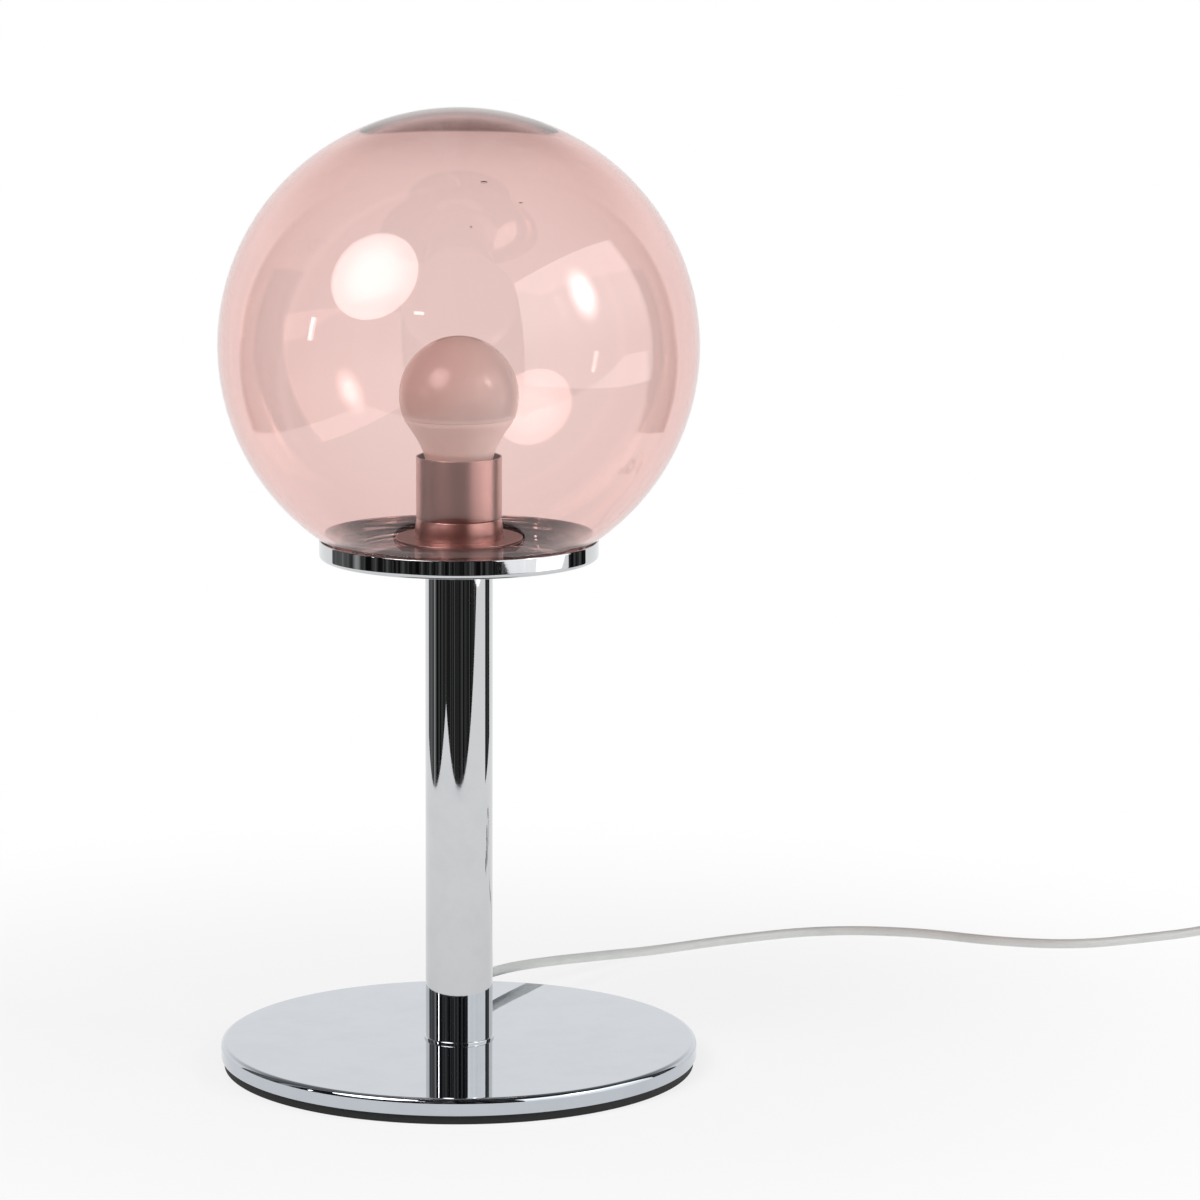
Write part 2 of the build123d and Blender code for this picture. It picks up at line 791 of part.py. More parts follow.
# From the switch the flex turns back and lies up to the coil's start.
switch_exit = (switch_entry[0] + switch_length, switch_entry[1], switch_axis_level)
lead_points = [
    switch_exit,
    (switch_exit[0] + 15.0, switch_exit[1], switch_axis_level),
    (switch_exit[0] + 39.0, switch_exit[1] - 2.0, on_table),
    (switch_exit[0] + 56.5, switch_exit[1] - 23.0, on_table),
    (switch_exit[0] + 52.0, switch_exit[1] - 50.0, on_table),
    (switch_exit[0] + 28.0, coil_start.Y + 1.15, on_table),
    (coil_start.X + 28.8, coil_start.Y, on_table),
    tuple(coil_start),
]
lead_radii = bend_radii(lead_points)
with BuildPart() as cord_lead:
    with BuildLine() as lead_route:
        FilletPolyline(*lead_points, radius=lead_radii)
    with BuildSketch(Plane(origin=switch_exit, z_dir=lead_route.wire() % 0)):
        Circle(cord_radius)
    sweep(path=lead_route.wire())
export(cord_lead, "cord_lead")
report_cord("cord_lead", cord_lead, lead_route.wire(), lead_radii)

# From the coil's top layer the flex drops a little to the plug, which lies beside the coil.
plug_axis_level = plug_thickness / 2
plug_entry = (coil_end.X - 1.6, coil_end.Y - 34.0, plug_axis_level)
tail_points = [
    tuple(coil_end),
    (coil_end.X, coil_end.Y - 12.0, coil_end.Z),
    (coil_end.X - 1.6, coil_end.Y - 24.0, plug_axis_level),
    plug_entry,
]
tail_radii = bend_radii(tail_points)
with BuildPart() as cord_tail:
    with BuildLine() as tail_route:
        FilletPolyline(*tail_points, radius=tail_radii)
    with BuildSketch(Plane(origin=tuple(coil_end), z_dir=tail_route.wire() % 0)):
        Circle(cord_radius)
    sweep(path=tail_route.wire())
export(cord_tail, "cord_tail")
report_cord("cord_tail", cord_tail, tail_route.wire(), tail_radii)

# ---------------------------------------------------------------- plug
# A flat two-pin plug, lying on its broad side, with its pins towards the lamp's front.
pin_face = plug_entry[1] - plug_length
sleeve_share = 0.5
plug_sections = [(0.0, 5.2, 4.6), (12.0, 9.5, 5.8), (24.0, plug_width / 2, plug_thickness / 2)]


def plug_plane(along):
    """Plane across the plug, that far from where the flex enters it."""
    place = (plug_entry[0], plug_entry[1] - along, plug_axis_level)
    return Plane(origin=place, x_dir=(1, 0, 0), z_dir=(0, -1, 0))


with BuildPart() as plug_body:
    for along, half_width, half_height in plug_sections:
        with BuildSketch(plug_plane(along)):
            Ellipse(half_width, half_height)
    loft()
    with BuildSketch(plug_plane(plug_sections[-1][0])):
        Ellipse(plug_width / 2, plug_thickness / 2)
    extrude(amount=plug_length - plug_sections[-1][0])
export(plug_body, "plug_body")

pin_plane = plug_plane(plug_length)
with BuildPart() as pin_sleeves:
    with BuildSketch(pin_plane):
        with Locations((-pin_spacing / 2, 0), (pin_spacing / 2, 0)):
            Circle(pin_width / 2 - 0.1)
    extrude(amount=pin_length * sleeve_share)
export(pin_sleeves, "pin_sleeves")

with BuildPart() as plug_pins:
    with BuildSketch(pin_plane.offset(pin_length * sleeve_share)):
        with Locations((-pin_spacing / 2, 0), (pin_spacing / 2, 0)):
            Circle(pin_width / 2)
    extrude(amount=pin_length * (1 - sleeve_share))
    chamfer(plug_pins.edges().group_by(Axis.Y)[0], 1.0)
export(plug_pins, "plug_pins")

# ---------------------------------------------------------------- in-line rocker switch
switch_middle = (switch_entry[0] + switch_length / 2, switch_entry[1])
split_level = switch_height / 2 - 0.5
rocker_crown = 4.4
tilt = math.radians(rocker_tilt)
rocker_swing = rocker_length / 2 * math.cos(tilt) + rocker_crown * math.sin(tilt)
window_length = 2 * (rocker_swing + moving_gap)
window_width = rocker_width + 2 * moving_gap
end_width = cord_width + 5.0


def switch_outline(inset=0.0):
    """The switch's corners from above: broad in the middle and narrow at both flex ends."""
    half_long = switch_length / 2 - inset
    half_wide = switch_width / 2 - inset
    half_end = end_width / 2 - inset
    straight = rocker_length / 2 + 3.0
    return [
        (-half_long, -half_end),
        (-straight, -half_wide),
        (straight, -half_wide),
        (half_long, -half_end),
        (half_long, half_end),
        (straight, half_wide),
        (-straight, half_wide),
        (-half_long, half_end),
    ]


def hollow_outline():
    """Corners of the room between the two flex clamps, a wall in from the outline."""
    half_long = switch_length / 2 - 13.0
    half_wide = switch_width / 2 - switch_wall
    cut = 3.0
    return [
        (-half_long, -half_wide + cut),
        (-half_long + cut, -half_wide),
        (half_long - cut, -half_wide),
        (half_long, -half_wide + cut),
        (half_long, half_wide - cut),
        (half_long - cut, half_wide),
        (-half_long + cut, half_wide),
        (-half_long, half_wide - cut),
    ]


screw_places = [(-21.0, 0), (21.0, 0)]
screw_radius = 1.2
screw_head = 1.2
with BuildPart() as switch_base:
    with BuildSketch(Plane(origin=(*switch_middle, 0))):
        with BuildLine():
            Polyline(*switch_outline(), close=True)
        make_face()
        chamfer(vertices(), switch_corner)
    extrude(amount=split_level)
    chamfer(switch_base.edges().group_by(Axis.Z)[0], 1.2)
    with BuildSketch(Plane(origin=(*switch_middle, switch_wall))):
        with BuildLine():
            Polyline(*hollow_outline(), close=True)
        make_face()
    extrude(amount=split_level, mode=Mode.SUBTRACT)
    with BuildSketch(Plane(origin=(*switch_middle, 0))):
        with Locations(*screw_places):
            Circle(screw_radius + fit_gap)
    extrude(amount=screw_head, mode=Mode.SUBTRACT)
export(switch_base, "switch_base")

with BuildPart() as switch_cover:
    with BuildSketch(Plane(origin=(*switch_middle, split_level))):
        with BuildLine():
            Polyline(*switch_outline(), close=True)
        make_face()
        chamfer(vertices(), switch_corner)
    extrude(amount=switch_height - split_level)
    chamfer(switch_cover.edges().group_by(Axis.Z)[-1], 2.0)
    with BuildSketch(Plane(origin=(*switch_middle, split_level))):
        with BuildLine():
            Polyline(*hollow_outline(), close=True)
        make_face()
    extrude(amount=switch_height - split_level - switch_wall, mode=Mode.SUBTRACT)
    with BuildSketch(Plane(origin=(*switch_middle, split_level))):
        Rectangle(window_length, window_width)
    extrude(amount=switch_height, mode=Mode.SUBTRACT)
export(switch_cover, "switch_cover")

# The rocker is built tipped to its off side. Its pin turns in two lugs under the cover.
pivot_level = switch_height - 4.2
rocker_reach = rocker_length / 2
rocker_plane = Plane(
    origin=(switch_middle[0], switch_middle[1] + rocker_width / 2, pivot_level),
    x_dir=(math.cos(tilt), 0, math.sin(tilt)),
    z_dir=(0, -1, 0),
)
pin_radius = 1.0
with BuildPart() as switch_rocker:
    with BuildSketch(rocker_plane):
        with BuildLine():
            Polyline(
                (-rocker_reach, rocker_crown),
                (-rocker_reach, 0.6),
                (-3.0, -2.4),
                (3.0, -2.4),
                (rocker_reach, 0.6),
                (rocker_reach, rocker_crown),
            )
            ThreePointArc(
                (rocker_reach, rocker_crown), (0, rocker_crown - 1.2), (-rocker_reach, rocker_crown)
            )
        make_face()
    extrude(amount=rocker_width)
    with BuildSketch(rocker_plane.offset(-2.2)):
        Circle(pin_radius)
    extrude(amount=rocker_width + 4.4)
export(switch_rocker, "switch_rocker")

lug_thickness = 1.6
lug_offset = window_width / 2 + lug_thickness / 2 + 0.3
with BuildPart() as rocker_lugs:
    for side in (-1, 1):
        with BuildSketch(Plane(origin=(switch_middle[0], switch_middle[1] + side * lug_offset, switch_wall))):
            Rectangle(6.0, lug_thickness)
        extrude(amount=switch_height - 2 * switch_wall)
    with BuildSketch(Plane.XZ.offset(-switch_middle[1] - switch_width)):
        with Locations((switch_middle[0], pivot_level)):
            Circle(pin_radius + fit_gap)
    extrude(amount=2 * switch_width, mode=Mode.SUBTRACT)
export(rocker_lugs, "rocker_lugs")

with BuildPart() as switch_contacts:
    with BuildSketch(Plane(origin=(*switch_middle, switch_wall))):
        with Locations((-11.0, 0), (11.0, 0)):
            Rectangle(5.0, 6.0)
    extrude(amount=2.4)
export(switch_contacts, "switch_contacts")

with BuildPart() as switch_screws:
    with BuildSketch(Plane(origin=(*switch_middle, 0.2))):
        with Locations(*screw_places):
            Circle(screw_radius)
    extrude(amount=screw_head - 0.2)
export(switch_screws, "switch_screws")

print("visible stem-to-plug flex", round(
    run_route.wire().length + lead_route.wire().length + coil_route.wire().length + tail_route.wire().length
))
print("levels", {"plate_top": round(plate_top, 2), "rim_top": round(rim_top, 2),
                 "globe_centre": round(globe_centre, 2), "globe_top": round(globe_centre + globe_rise, 2),
                 "sleeve_top": round(sleeve_top, 2), "tip": round(tip_bottom, 2),
                 "dome_centre": round(dome_centre, 2), "mouth": round(mouth_level, 2),
                 "mouth_r": (round(mouth_radius, 2), round(mouth_bore, 2))})
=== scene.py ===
"""Looks of a table lamp: a rose glass globe in a chromed tray on a tube stem.

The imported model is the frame. Everything here is in metres in that frame, +Z up, with the lamp's
front towards -Y. Sections of turned pieces are written in millimetres, as a workshop drawing is.
"""

import logging
import math
from dataclasses import dataclass
from enum import Enum
from typing import Iterable, Sequence

import bmesh
import bpy
from mathutils import Matrix, Vector

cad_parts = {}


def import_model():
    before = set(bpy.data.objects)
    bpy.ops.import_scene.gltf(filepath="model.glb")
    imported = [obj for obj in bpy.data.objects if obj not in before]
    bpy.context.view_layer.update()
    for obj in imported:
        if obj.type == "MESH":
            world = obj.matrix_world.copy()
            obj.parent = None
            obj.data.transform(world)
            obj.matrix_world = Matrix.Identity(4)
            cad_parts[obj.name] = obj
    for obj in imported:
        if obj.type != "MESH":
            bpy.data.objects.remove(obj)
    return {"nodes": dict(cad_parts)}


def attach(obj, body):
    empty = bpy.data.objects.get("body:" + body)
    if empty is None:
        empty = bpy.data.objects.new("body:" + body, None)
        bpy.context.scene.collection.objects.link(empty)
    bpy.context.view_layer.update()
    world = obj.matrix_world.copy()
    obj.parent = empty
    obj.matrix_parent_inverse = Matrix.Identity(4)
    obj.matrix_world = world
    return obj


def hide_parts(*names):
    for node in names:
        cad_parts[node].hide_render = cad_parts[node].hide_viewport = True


log = logging.getLogger("globe_lamp")
MM = 0.001
HOLD = 0.25 * MM  # how near to a corner a flat's extra points lie
THREAD_PITCH = 3.629  # of the bulb's screw thread, in millimetres a turn
GLOBE_LEVEL = 0.367  # the globe's middle, which the studio's lamps face
MARKS_SHOW = (0.38, 0.72)  # the noise between which a surface turns from clean to marked
GRAIN_SHARE = 0.7  # of the fine grain in a surface's height, where the rest is its marks
WHITE = (1, 1, 1, 1)
Colour = tuple[float, float, float]
Point = tuple[float, float, float]
Pair = tuple[float, float]
Socket = bpy.types.NodeSocket
Piece = bpy.types.Object
Mesh = bmesh.types.BMesh
Edge = bmesh.types.BMEdge
Vert = bmesh.types.BMVert


class Body(Enum):
    """The moving bodies of the lamp."""

    STAND = "stand"
    GLOBE = "globe"
    BULB = "bulb"
    SCREW = "bulb_screw"
    ROCKER = "rocker"


class Ray(Enum):
    """Kinds of light path that a studio surface tells apart."""

    CAMERA = "Is Camera Ray"
    THROUGH = "Is Transmission Ray"
    SHADOW = "Is Shadow Ray"


class Rounds(Enum):
    """What a rounding works on."""

    CORNERS = "VERTICES"
    EDGES = "EDGES"


class Outline(Enum):
    """The shape of a studio lamp's front."""

    OVAL = "ELLIPSE"
    ROUND = "DISK"
    OBLONG = "RECTANGLE"


# ---------------------------------------------------------------- shader tools
class Shader:
    """A material or world whose nodes are added one call at a time."""

    def __init__(self, owner: bpy.types.ID) -> None:
        """Empties the owner's node tree.

        Args:
            owner: the material, world or node group that holds the tree.
        """
        if not isinstance(owner, bpy.types.NodeTree):
            owner.use_nodes = True
        self.tree = owner if isinstance(owner, bpy.types.NodeTree) else owner.node_tree
        self.tree.nodes.clear()

    def add(self, kind: str, settings: dict | None = None, **inputs: object) -> bpy.types.Node:
        """Adds a node.

        Args:
            kind: the node's type name without its ShaderNode prefix.
            settings: properties of the node itself.
            inputs: values or sockets for its inputs. A name's underscores stand for spaces, and
                in_0 means the first input.

        Returns:
            The new node.
        """
        node = self.tree.nodes.new(kind if kind.startswith("Node") else "ShaderNode" + kind)
        for name, value in (settings or {}).items():
            setattr(node, name, value)
        for name, value in inputs.items():
            key = int(name[3:]) if name.startswith("in_") else name.replace("_", " ")
            if isinstance(value, Socket):
                self.tree.links.new(value, node.inputs[key])
            else:
                node.inputs[key].default_value = value
        return node

    def math(self, operation: str, *values: object, clamp: bool = False) -> Socket:
        """Adds a Math node and returns its value.

        Args:
            operation: the node's operation.
            values: its inputs, numbers or sockets.
            clamp: whether the value is kept between 0 and 1.

        Returns:
            The node's output socket.
        """
        inputs = {f"in_{i}": v for i, v in enumerate(values)}
        return self.add("Math", {"operation": operation, "use_clamp": clamp}, **inputs).outputs[0]

    def ramp(self, value: Socket, low: float, high: float, start: float = 0.0, end: float = 1.0) -> Socket:
        """Maps a value smoothly from one range onto another.

        Args:
            value: the socket that is mapped.
            low: where the change starts.
            high: where it ends.
            start: the result at low.
            end: the result at high.

        Returns:
            The mapped value's socket.
        """
        limits = {"From_Min": low, "From_Max": high, "To_Min": start, "To_Max": end}
        return self.add("MapRange", {"interpolation_type": "SMOOTHSTEP"}, Value=value, **limits).outputs[0]

    def coordinates(self, kind: str = "Object") -> Sequence[Socket]:
        """The X, Y and Z of a kind of texture coordinate."""
        return self.add("SeparateXYZ", Vector=self.add("TexCoord").outputs[kind]).outputs

    def azimuth(self, x: Socket, y: Socket) -> Socket:
        """A direction's degrees to the right of the front."""
        return self.math("DEGREES", self.math("ARCTAN2", x, self.math("MULTIPLY", y, -1.0)))

    def mixed(self, share: Socket, low: object, high: object) -> Socket:
        """The value that lies that share of the way from low to high."""
        return self.add("Mix", {"data_type": "FLOAT"}, Factor=share, A=low, B=high).outputs[0]

    def glow(self, strength: object) -> Socket:
        """The shader of a white light of that strength."""
        return self.add("Emission", Color=WHITE, Strength=strength).outputs[0]


def surface_group() -> bpy.types.NodeTree:
    """The shared effect of handling and moulding: a mottled roughness and a fine height.

    Returns:
        A node group with a base roughness, its spread and the size of its marks as inputs.
    """
    name = "handled_surface"
    group = bpy.data.node_groups.get(name)
    if group:
        return group
    group = bpy.data.node_groups.new(name, "ShaderNodeTree")
    face = group.interface
    for label, value in (("Roughness", 0.3), ("Spread", 0.1), ("Mark Scale", 60.0), ("Grain Scale", 900.0)):
        face.new_socket(label, in_out="INPUT", socket_type="NodeSocketFloat").default_value = value
    for label in ("Roughness", "Height", "Mask"):
        face.new_socket(label, in_out="OUTPUT", socket_type="NodeSocketFloat")
    sh = Shader(group)
    given = sh.add("NodeGroupInput").outputs
    place = sh.add("TexCoord").outputs["Object"]
    marks = sh.add("TexNoise", Vector=place, Scale=given["Mark Scale"], Detail=4.0, Roughness=0.62).outputs[0]
    grain = sh.add("TexNoise", Vector=place, Scale=given["Grain Scale"], Detail=2.0).outputs[0]
    mask = sh.ramp(marks, *MARKS_SHOW)
    rough = sh.math("ADD", given["Roughness"], sh.math("MULTIPLY", mask, given["Spread"]), clamp=True)
    height = sh.math(
        "ADD", sh.math("MULTIPLY", grain, GRAIN_SHARE), sh.math("MULTIPLY", marks, 1 - GRAIN_SHARE)
    )
    sh.add("NodeGroupOutput", Roughness=rough, Height=height, Mask=mask)
    return group


# ---------------------------------------------------------------- finishes
@dataclass(frozen=True)
class Finish:
    """What every finish has: its name and the record's slot that it stands in."""

    name: str
    slot: str

    def material(self) -> bpy.types.Material:
        """Gives the finish's material, which is made when it is first asked for.

        Returns:
            The material.
        """
        name = f"{self.name}_finish"
        made = bpy.data.materials.get(name)
        if made is None:
            made = bpy.data.materials.new(name)
            self.build(Shader(made))
        return made

    def build(self, sh: Shader) -> None:
        """Adds the finish's nodes.

        Args:
            sh: the empty shader of its material.
        """
        raise NotImplementedError


@dataclass(frozen=True)
class Skin(Finish):
    """An opaque finish whose tone, gloss and fine relief vary over the surface.

    The relief is in millimetres. Grain and marks are in cells a metre.
    """

    colour: Colour
    shade: Colour
    roughness: float = 0.4
    spread: float = 0.1
    relief: float = 0.02
    grain: float = 900.0
    marks: float = 60.0
    metallic: float = 0.0

    def build(self, sh: Shader) -> None:
        """Adds the nodes of a skin with faint marks of handling.

        Args:
            sh: the empty shader of its material.
        """
        worn = sh.add(
            "Group", {"node_tree": surface_group()}, Roughness=self.roughness, Spread=self.spread,
            Mark_Scale=self.marks, Grain_Scale=self.grain,
        ).outputs
        tone = sh.add(
            "Mix", {"data_type": "RGBA"}, Factor=worn["Mask"], in_6=(*self.colour, 1), in_7=(*self.shade, 1)
        )
        bump = sh.add("Bump", Strength=1.0, Distance=self.relief * MM, Height=worn["Height"])
        skin = sh.add(
            "BsdfPrincipled", Base_Color=tone.outputs[2], Metallic=self.metallic, Roughness=worn["Roughness"],
            Normal=bump.outputs[0],
        )
        sh.add("OutputMaterial", Surface=skin.outputs[0])


@dataclass(frozen=True)
class Moulded(Skin):
    """Moulded plastic, rubber or fired ceramic."""


@dataclass(frozen=True)
class Plated(Skin):
    """Plated, turned or stamped metal."""

    colour: Colour = (0.6, 0.61, 0.625)
    shade: Colour = (0.57, 0.585, 0.6)
    roughness: float = 0.02
    spread: float = 0.02
    relief: float = 0.001
    marks: float = 45.0
    metallic: float = 1.0


@dataclass(frozen=True)
class ClearGlass(Finish):
    """Clear glass or clear soft plastic, tinted in its depth, that lets the lamps' light through."""

    tint: Colour = (0.78, 0.19, 0.09)
    density: float = 92.0
    shadow: Colour = (0.97, 0.81, 0.775)
    ior: float = 1.5
    roughness: float = 0.0

    def build(self, sh: Shader) -> None:
        """Adds the nodes of a refracting wall with an absorbing depth.

        Args:
            sh: the empty shader of its material.
        """
        wall = sh.add(
            "BsdfPrincipled", Base_Color=WHITE, Roughness=self.roughness, IOR=self.ior,
            Transmission_Weight=1.0,
        )
        pane = sh.add("BsdfTransparent", Color=(*self.shadow, 1))
        path = sh.add("LightPath").outputs
        surface = sh.add(
            "MixShader", in_0=path[Ray.SHADOW.value], in_1=wall.outputs[0], in_2=pane.outputs[0]
        )
        depth = sh.add("VolumeAbsorption", Color=(*self.tint, 1), Density=self.density)
        sh.add("OutputMaterial", Surface=surface.outputs[0], Volume=depth.outputs[0])


CHROME = Plated("chrome_plate", "chrome")
DISC_CHROME = Plated("disc_chrome", "chrome", (0.535, 0.567, 0.612), (0.51, 0.545, 0.59))
# Painted rose light: the holder is plain chrome. Its pink, darker colour stands in for the rose light that
# its reflections gather through the globe.
PAINTED_ROSE_LIGHT_HOLDER = Plated(
    "painted_rose_light_holder", "chrome", (0.6, 0.46, 0.44), (0.58, 0.44, 0.42), 0.33, 0.01, 0.0005, marks=70.0
)
STEEL = Plated("zinc_steel", "steel", (0.42, 0.43, 0.45), (0.36, 0.37, 0.39), 0.28, 0.14, 0.03, marks=140.0)
BRASS = Plated("rolled_brass", "brass", (0.72, 0.5, 0.22), (0.6, 0.4, 0.17), 0.2, 0.15, 0.02, marks=120.0)
NICKEL = Plated("nickel_cap", "nickel", (0.52, 0.5, 0.46), (0.45, 0.43, 0.39), 0.22, 0.12, 0.02, marks=150.0)
ROSE_GLASS = ClearGlass("rose_glass", "rose_glass")
CLEAR_SEAT = ClearGlass("clear_seat", "clear_silicone", (0.6, 0.55, 0.5), 12.0, (0.9, 0.9, 0.9), 1.41, 0.12)
FOAM = Moulded(
    "black_foam", "black_foam", (0.012, 0.012, 0.012), (0.02, 0.02, 0.02), 0.82, 0.12, 0.25, 700.0, 90.0
)
CERAMIC = Moulded("fired_ceramic", "ceramic", (0.84, 0.82, 0.75), (0.78, 0.75, 0.67), 0.3, 0.2, 0.04, 600.0)
# Painted rose light: the opal dome is white. Its pink tint stands in for the rose light that reaches it
# through the globe.
PAINTED_ROSE_LIGHT_DOME = Moulded("painted_rose_light_dome", "opal", (0.75, 0.66, 0.63), (0.72, 0.63, 0.6), 0.15, 0.04, 0.002, 500.0)
# Painted rose light: the bulb's body is white plastic. Its pink tint and extra brightness stand in for the
# rose light reflected onto it from the tray and the pink glass.
PAINTED_ROSE_LIGHT_BULB_BODY = Moulded(
    "painted_rose_light_bulb_body", "bulb_white", (0.93, 0.8, 0.75), (0.9, 0.77, 0.72), 0.34, 0.08, 0.01
)
BLACK_GLASS = Moulded(
    "black_cap_glass", "black_glass", (0.02, 0.02, 0.025), (0.04, 0.04, 0.045), 0.12, 0.1, 0.01
)
BOARD = Moulded("board_mask", "board", (0.8, 0.8, 0.77), (0.74, 0.74, 0.7), 0.5, 0.1, 0.01)
PHOSPHOR = Moulded("chip_phosphor", "phosphor", (0.82, 0.66, 0.14), (0.76, 0.58, 0.1), 0.4, 0.1, 0.01)
FLEX_GREY = Moulded(
    "grey_flex", "grey_flex", (0.62, 0.635, 0.62), (0.58, 0.595, 0.58), 0.38, 0.12, 0.03, 450.0, 40.0
)
WIRE_SHEATH = Moulded("wire_sheath", "wire_sheath", (0.05, 0.12, 0.5), (0.05, 0.1, 0.42), 0.35, 0.1, 0.01)
SWITCH_WHITE = Moulded(
    "switch_white", "switch_white", (0.7, 0.71, 0.72), (0.67, 0.68, 0.69), 0.34, 0.12, 0.03, 700.0, 30.0
)
PIN_SLEEVE = Moulded(
    "pin_sleeve_black", "pin_sleeve_black", (0.02, 0.02, 0.02), (0.03, 0.03, 0.03), 0.4, 0.1, 0.01
)


# ---------------------------------------------------------------- mesh tools
@dataclass(frozen=True)
class Corner:
    """A corner of a turned piece's section, in millimetres: distance from the axis, level, rounding."""

    radius: float
    level: float
    rounding: float = 0.0


def corners(*rows: Sequence[float]) -> list[Corner]:
    """Section corners written as plain rows.

    Args:
        rows: radius, level and, where the corner is round, its rounding.

    Returns:
        The corners in the same order.
    """
    return [Corner(*row) for row in rows]


def rounded(
    mesh: Mesh, geom: Iterable[Vert | Edge], rounding: float, steps: int, on: Rounds = Rounds.CORNERS
) -> None:
    """Rounds corners or edges of a mesh.

    Args:
        mesh: the mesh.
        geom: the corners or edges.
        rounding: the radius, in millimetres.
        steps: how many steps the rounding has.
        on: which of the two they are.
    """
    bmesh.ops.bevel(
        mesh, geom=list(geom), offset=rounding * MM, offset_type="OFFSET", segments=steps,
        profile=0.5, affect=on.value, clamp_overlap=True, material=-1,
    )


def hold_flats(mesh: Mesh) -> None:
    """Adds a point close to both ends of every long line, so that flats stay flat when shaded smooth.

    Args:
        mesh: the section, edges only.
    """
    for edge in [e for e in mesh.edges if e.calc_length() > 6 * HOLD]:
        far = edge.verts[1]
        _, near = bmesh.utils.edge_split(edge, edge.verts[0], HOLD / edge.calc_length())
        rest = next(e for e in near.link_edges if e.other_vert(near) is far)
        bmesh.utils.edge_split(rest, far, HOLD / rest.calc_length())


def draw_section(mesh: Mesh, section: Sequence[Corner], closed: bool, arc: int = 5) -> None:
    """Draws a section in the XZ plane and rounds its corners.

    Args:
        mesh: where it is drawn.
        section: its corners.
        closed: whether the last corner joins the first.
        arc: how many steps a rounded corner has.
    """
    points = [mesh.verts.new((c.radius * MM, 0, c.level * MM)) for c in section]
    for here, there in zip(points, points[1:] + (points[:1] if closed else [])):
        mesh.edges.new((here, there))
    for rounding in sorted({c.rounding for c in section if c.rounding}):
        rounded(mesh, [p for p, c in zip(points, section) if c.rounding == rounding], rounding, arc)
    hold_flats(mesh)


def half_oval(mesh: Mesh, wide: float, tall: float, centre: float, foot: float, steps: int) -> Vert:
    """Draws the right half of an oval in the XZ plane, cut level at its foot.

    Args:
        mesh: where it is drawn.
        wide: half the oval's width, in millimetres.
        tall: half its height.
        centre: the level of its middle.
        foot: the level of the cut.
        steps: how many steps the whole oval has.

    Returns:
        Its lowest point.
    """
    before = set(mesh.verts)
    bmesh.ops.create_circle(mesh, cap_ends=False, radius=MM, segments=steps)
    upright = Matrix.Diagonal((wide, 1, tall, 1)) @ Matrix.Rotation(math.pi / 2, 4, "X")
    fresh = [v for v in mesh.verts if v not in before]
    bmesh.ops.transform(mesh, matrix=Matrix.Translation((0, 0, centre * MM)) @ upright, verts=fresh)
    for place, way in (((0, 0, 0), (-1, 0, 0)), ((0, 0, foot * MM), (0, 0, -1))):
        fresh = [v for v in mesh.verts if v not in before]
        lines = [e for e in mesh.edges if e.verts[0] not in before]
        bmesh.ops.bisect_plane(
            mesh, geom=fresh + lines, plane_co=place, plane_no=way, dist=1e-8, clear_outer=True
        )
    return min((v for v in mesh.verts if v not in before), key=lambda v: v.co.z)


def edges_at(points: Iterable[Vert]) -> list[Edge]:
    """The edges that meet at some points, each of them once."""
    return list(dict.fromkeys(e for v in points for e in v.link_edges))


def sharp_edges(edges: Iterable[Edge], angle: float) -> list[Edge]:
    """The edges whose two faces turn by more than an angle in degrees."""
    return [e for e in edges if len(e.link_faces) == 2 and e.calc_face_angle(0.0) > math.radians(angle)]


def spin_round(mesh: Mesh, steps: int) -> None:
    """Spins everything in the mesh once round the Z axis and closes it.

    Args:
        mesh: the mesh, with a section in it.
        steps: how many steps the turn has.
    """
    bmesh.ops.spin(
        mesh, geom=mesh.verts[:] + mesh.edges[:], cent=(0, 0, 0), axis=(0, 0, 1), dvec=(0, 0, 0),
        angle=2 * math.pi, steps=steps, use_merge=True, use_normal_flip=False, use_duplicate=False,
    )
    bmesh.ops.remove_doubles(mesh, verts=mesh.verts[:], dist=1e-7)
    bmesh.ops.recalc_face_normals(mesh, faces=mesh.faces[:])


def finished(mesh: Mesh, name: str, sharp: float = 35.0) -> Piece:
    """Makes the mesh an object, shaded smooth except at its sharp edges.

    Args:
        mesh: the mesh, which is used up.
        name: the piece's name.
        sharp: the angle in degrees above which an edge is sharp.

    Returns:
        The new object, at the origin.
    """
    for face in mesh.faces:
        face.smooth = True
    for edge in mesh.edges:
        edge.smooth = len(edge.link_faces) != 2 or edge.calc_face_angle(0.0) < math.radians(sharp)
    data = bpy.data.meshes.new(name)
    mesh.to_mesh(data)
    mesh.free()
    return linked(bpy.data.objects.new(name, data))


def linked(piece: Piece) -> Piece:
    """Puts a new object in the scene and returns it."""
    bpy.context.scene.collection.objects.link(piece)
    return piece


def points_of(geom: Iterable[object]) -> list[Vert]:
    """The vertices among what an operator made."""
    return [v for v in geom if isinstance(v, Vert)]


def turned(
    name: str, section: Sequence[Corner], closed: bool = True, steps: int = 192,
    places: Sequence[Matrix] = (),
) -> Piece:
    """A piece turned on a lathe round the Z axis.

    Args:
        name: the piece's name.
        section: its section, drawn beside the axis.
        closed: whether the section is a closed loop. An open one starts and ends on the axis.
        steps: how many steps the turn has.
        places: where copies of the turned shape go, if it isn't on the lamp's axis.

    Returns:
        The new object.
    """
    mesh = bmesh.new()
    draw_section(mesh, section, closed)
    spin_round(mesh, steps)
    shape = mesh.verts[:] + mesh.edges[:] + mesh.faces[:]
    for place in places[1:]:
        copy = bmesh.ops.duplicate(mesh, geom=shape)["geom"]
        bmesh.ops.transform(mesh, matrix=place, verts=points_of(copy))
    if places:
        bmesh.ops.transform(mesh, matrix=places[0], verts=points_of(shape))
    return finished(mesh, name)


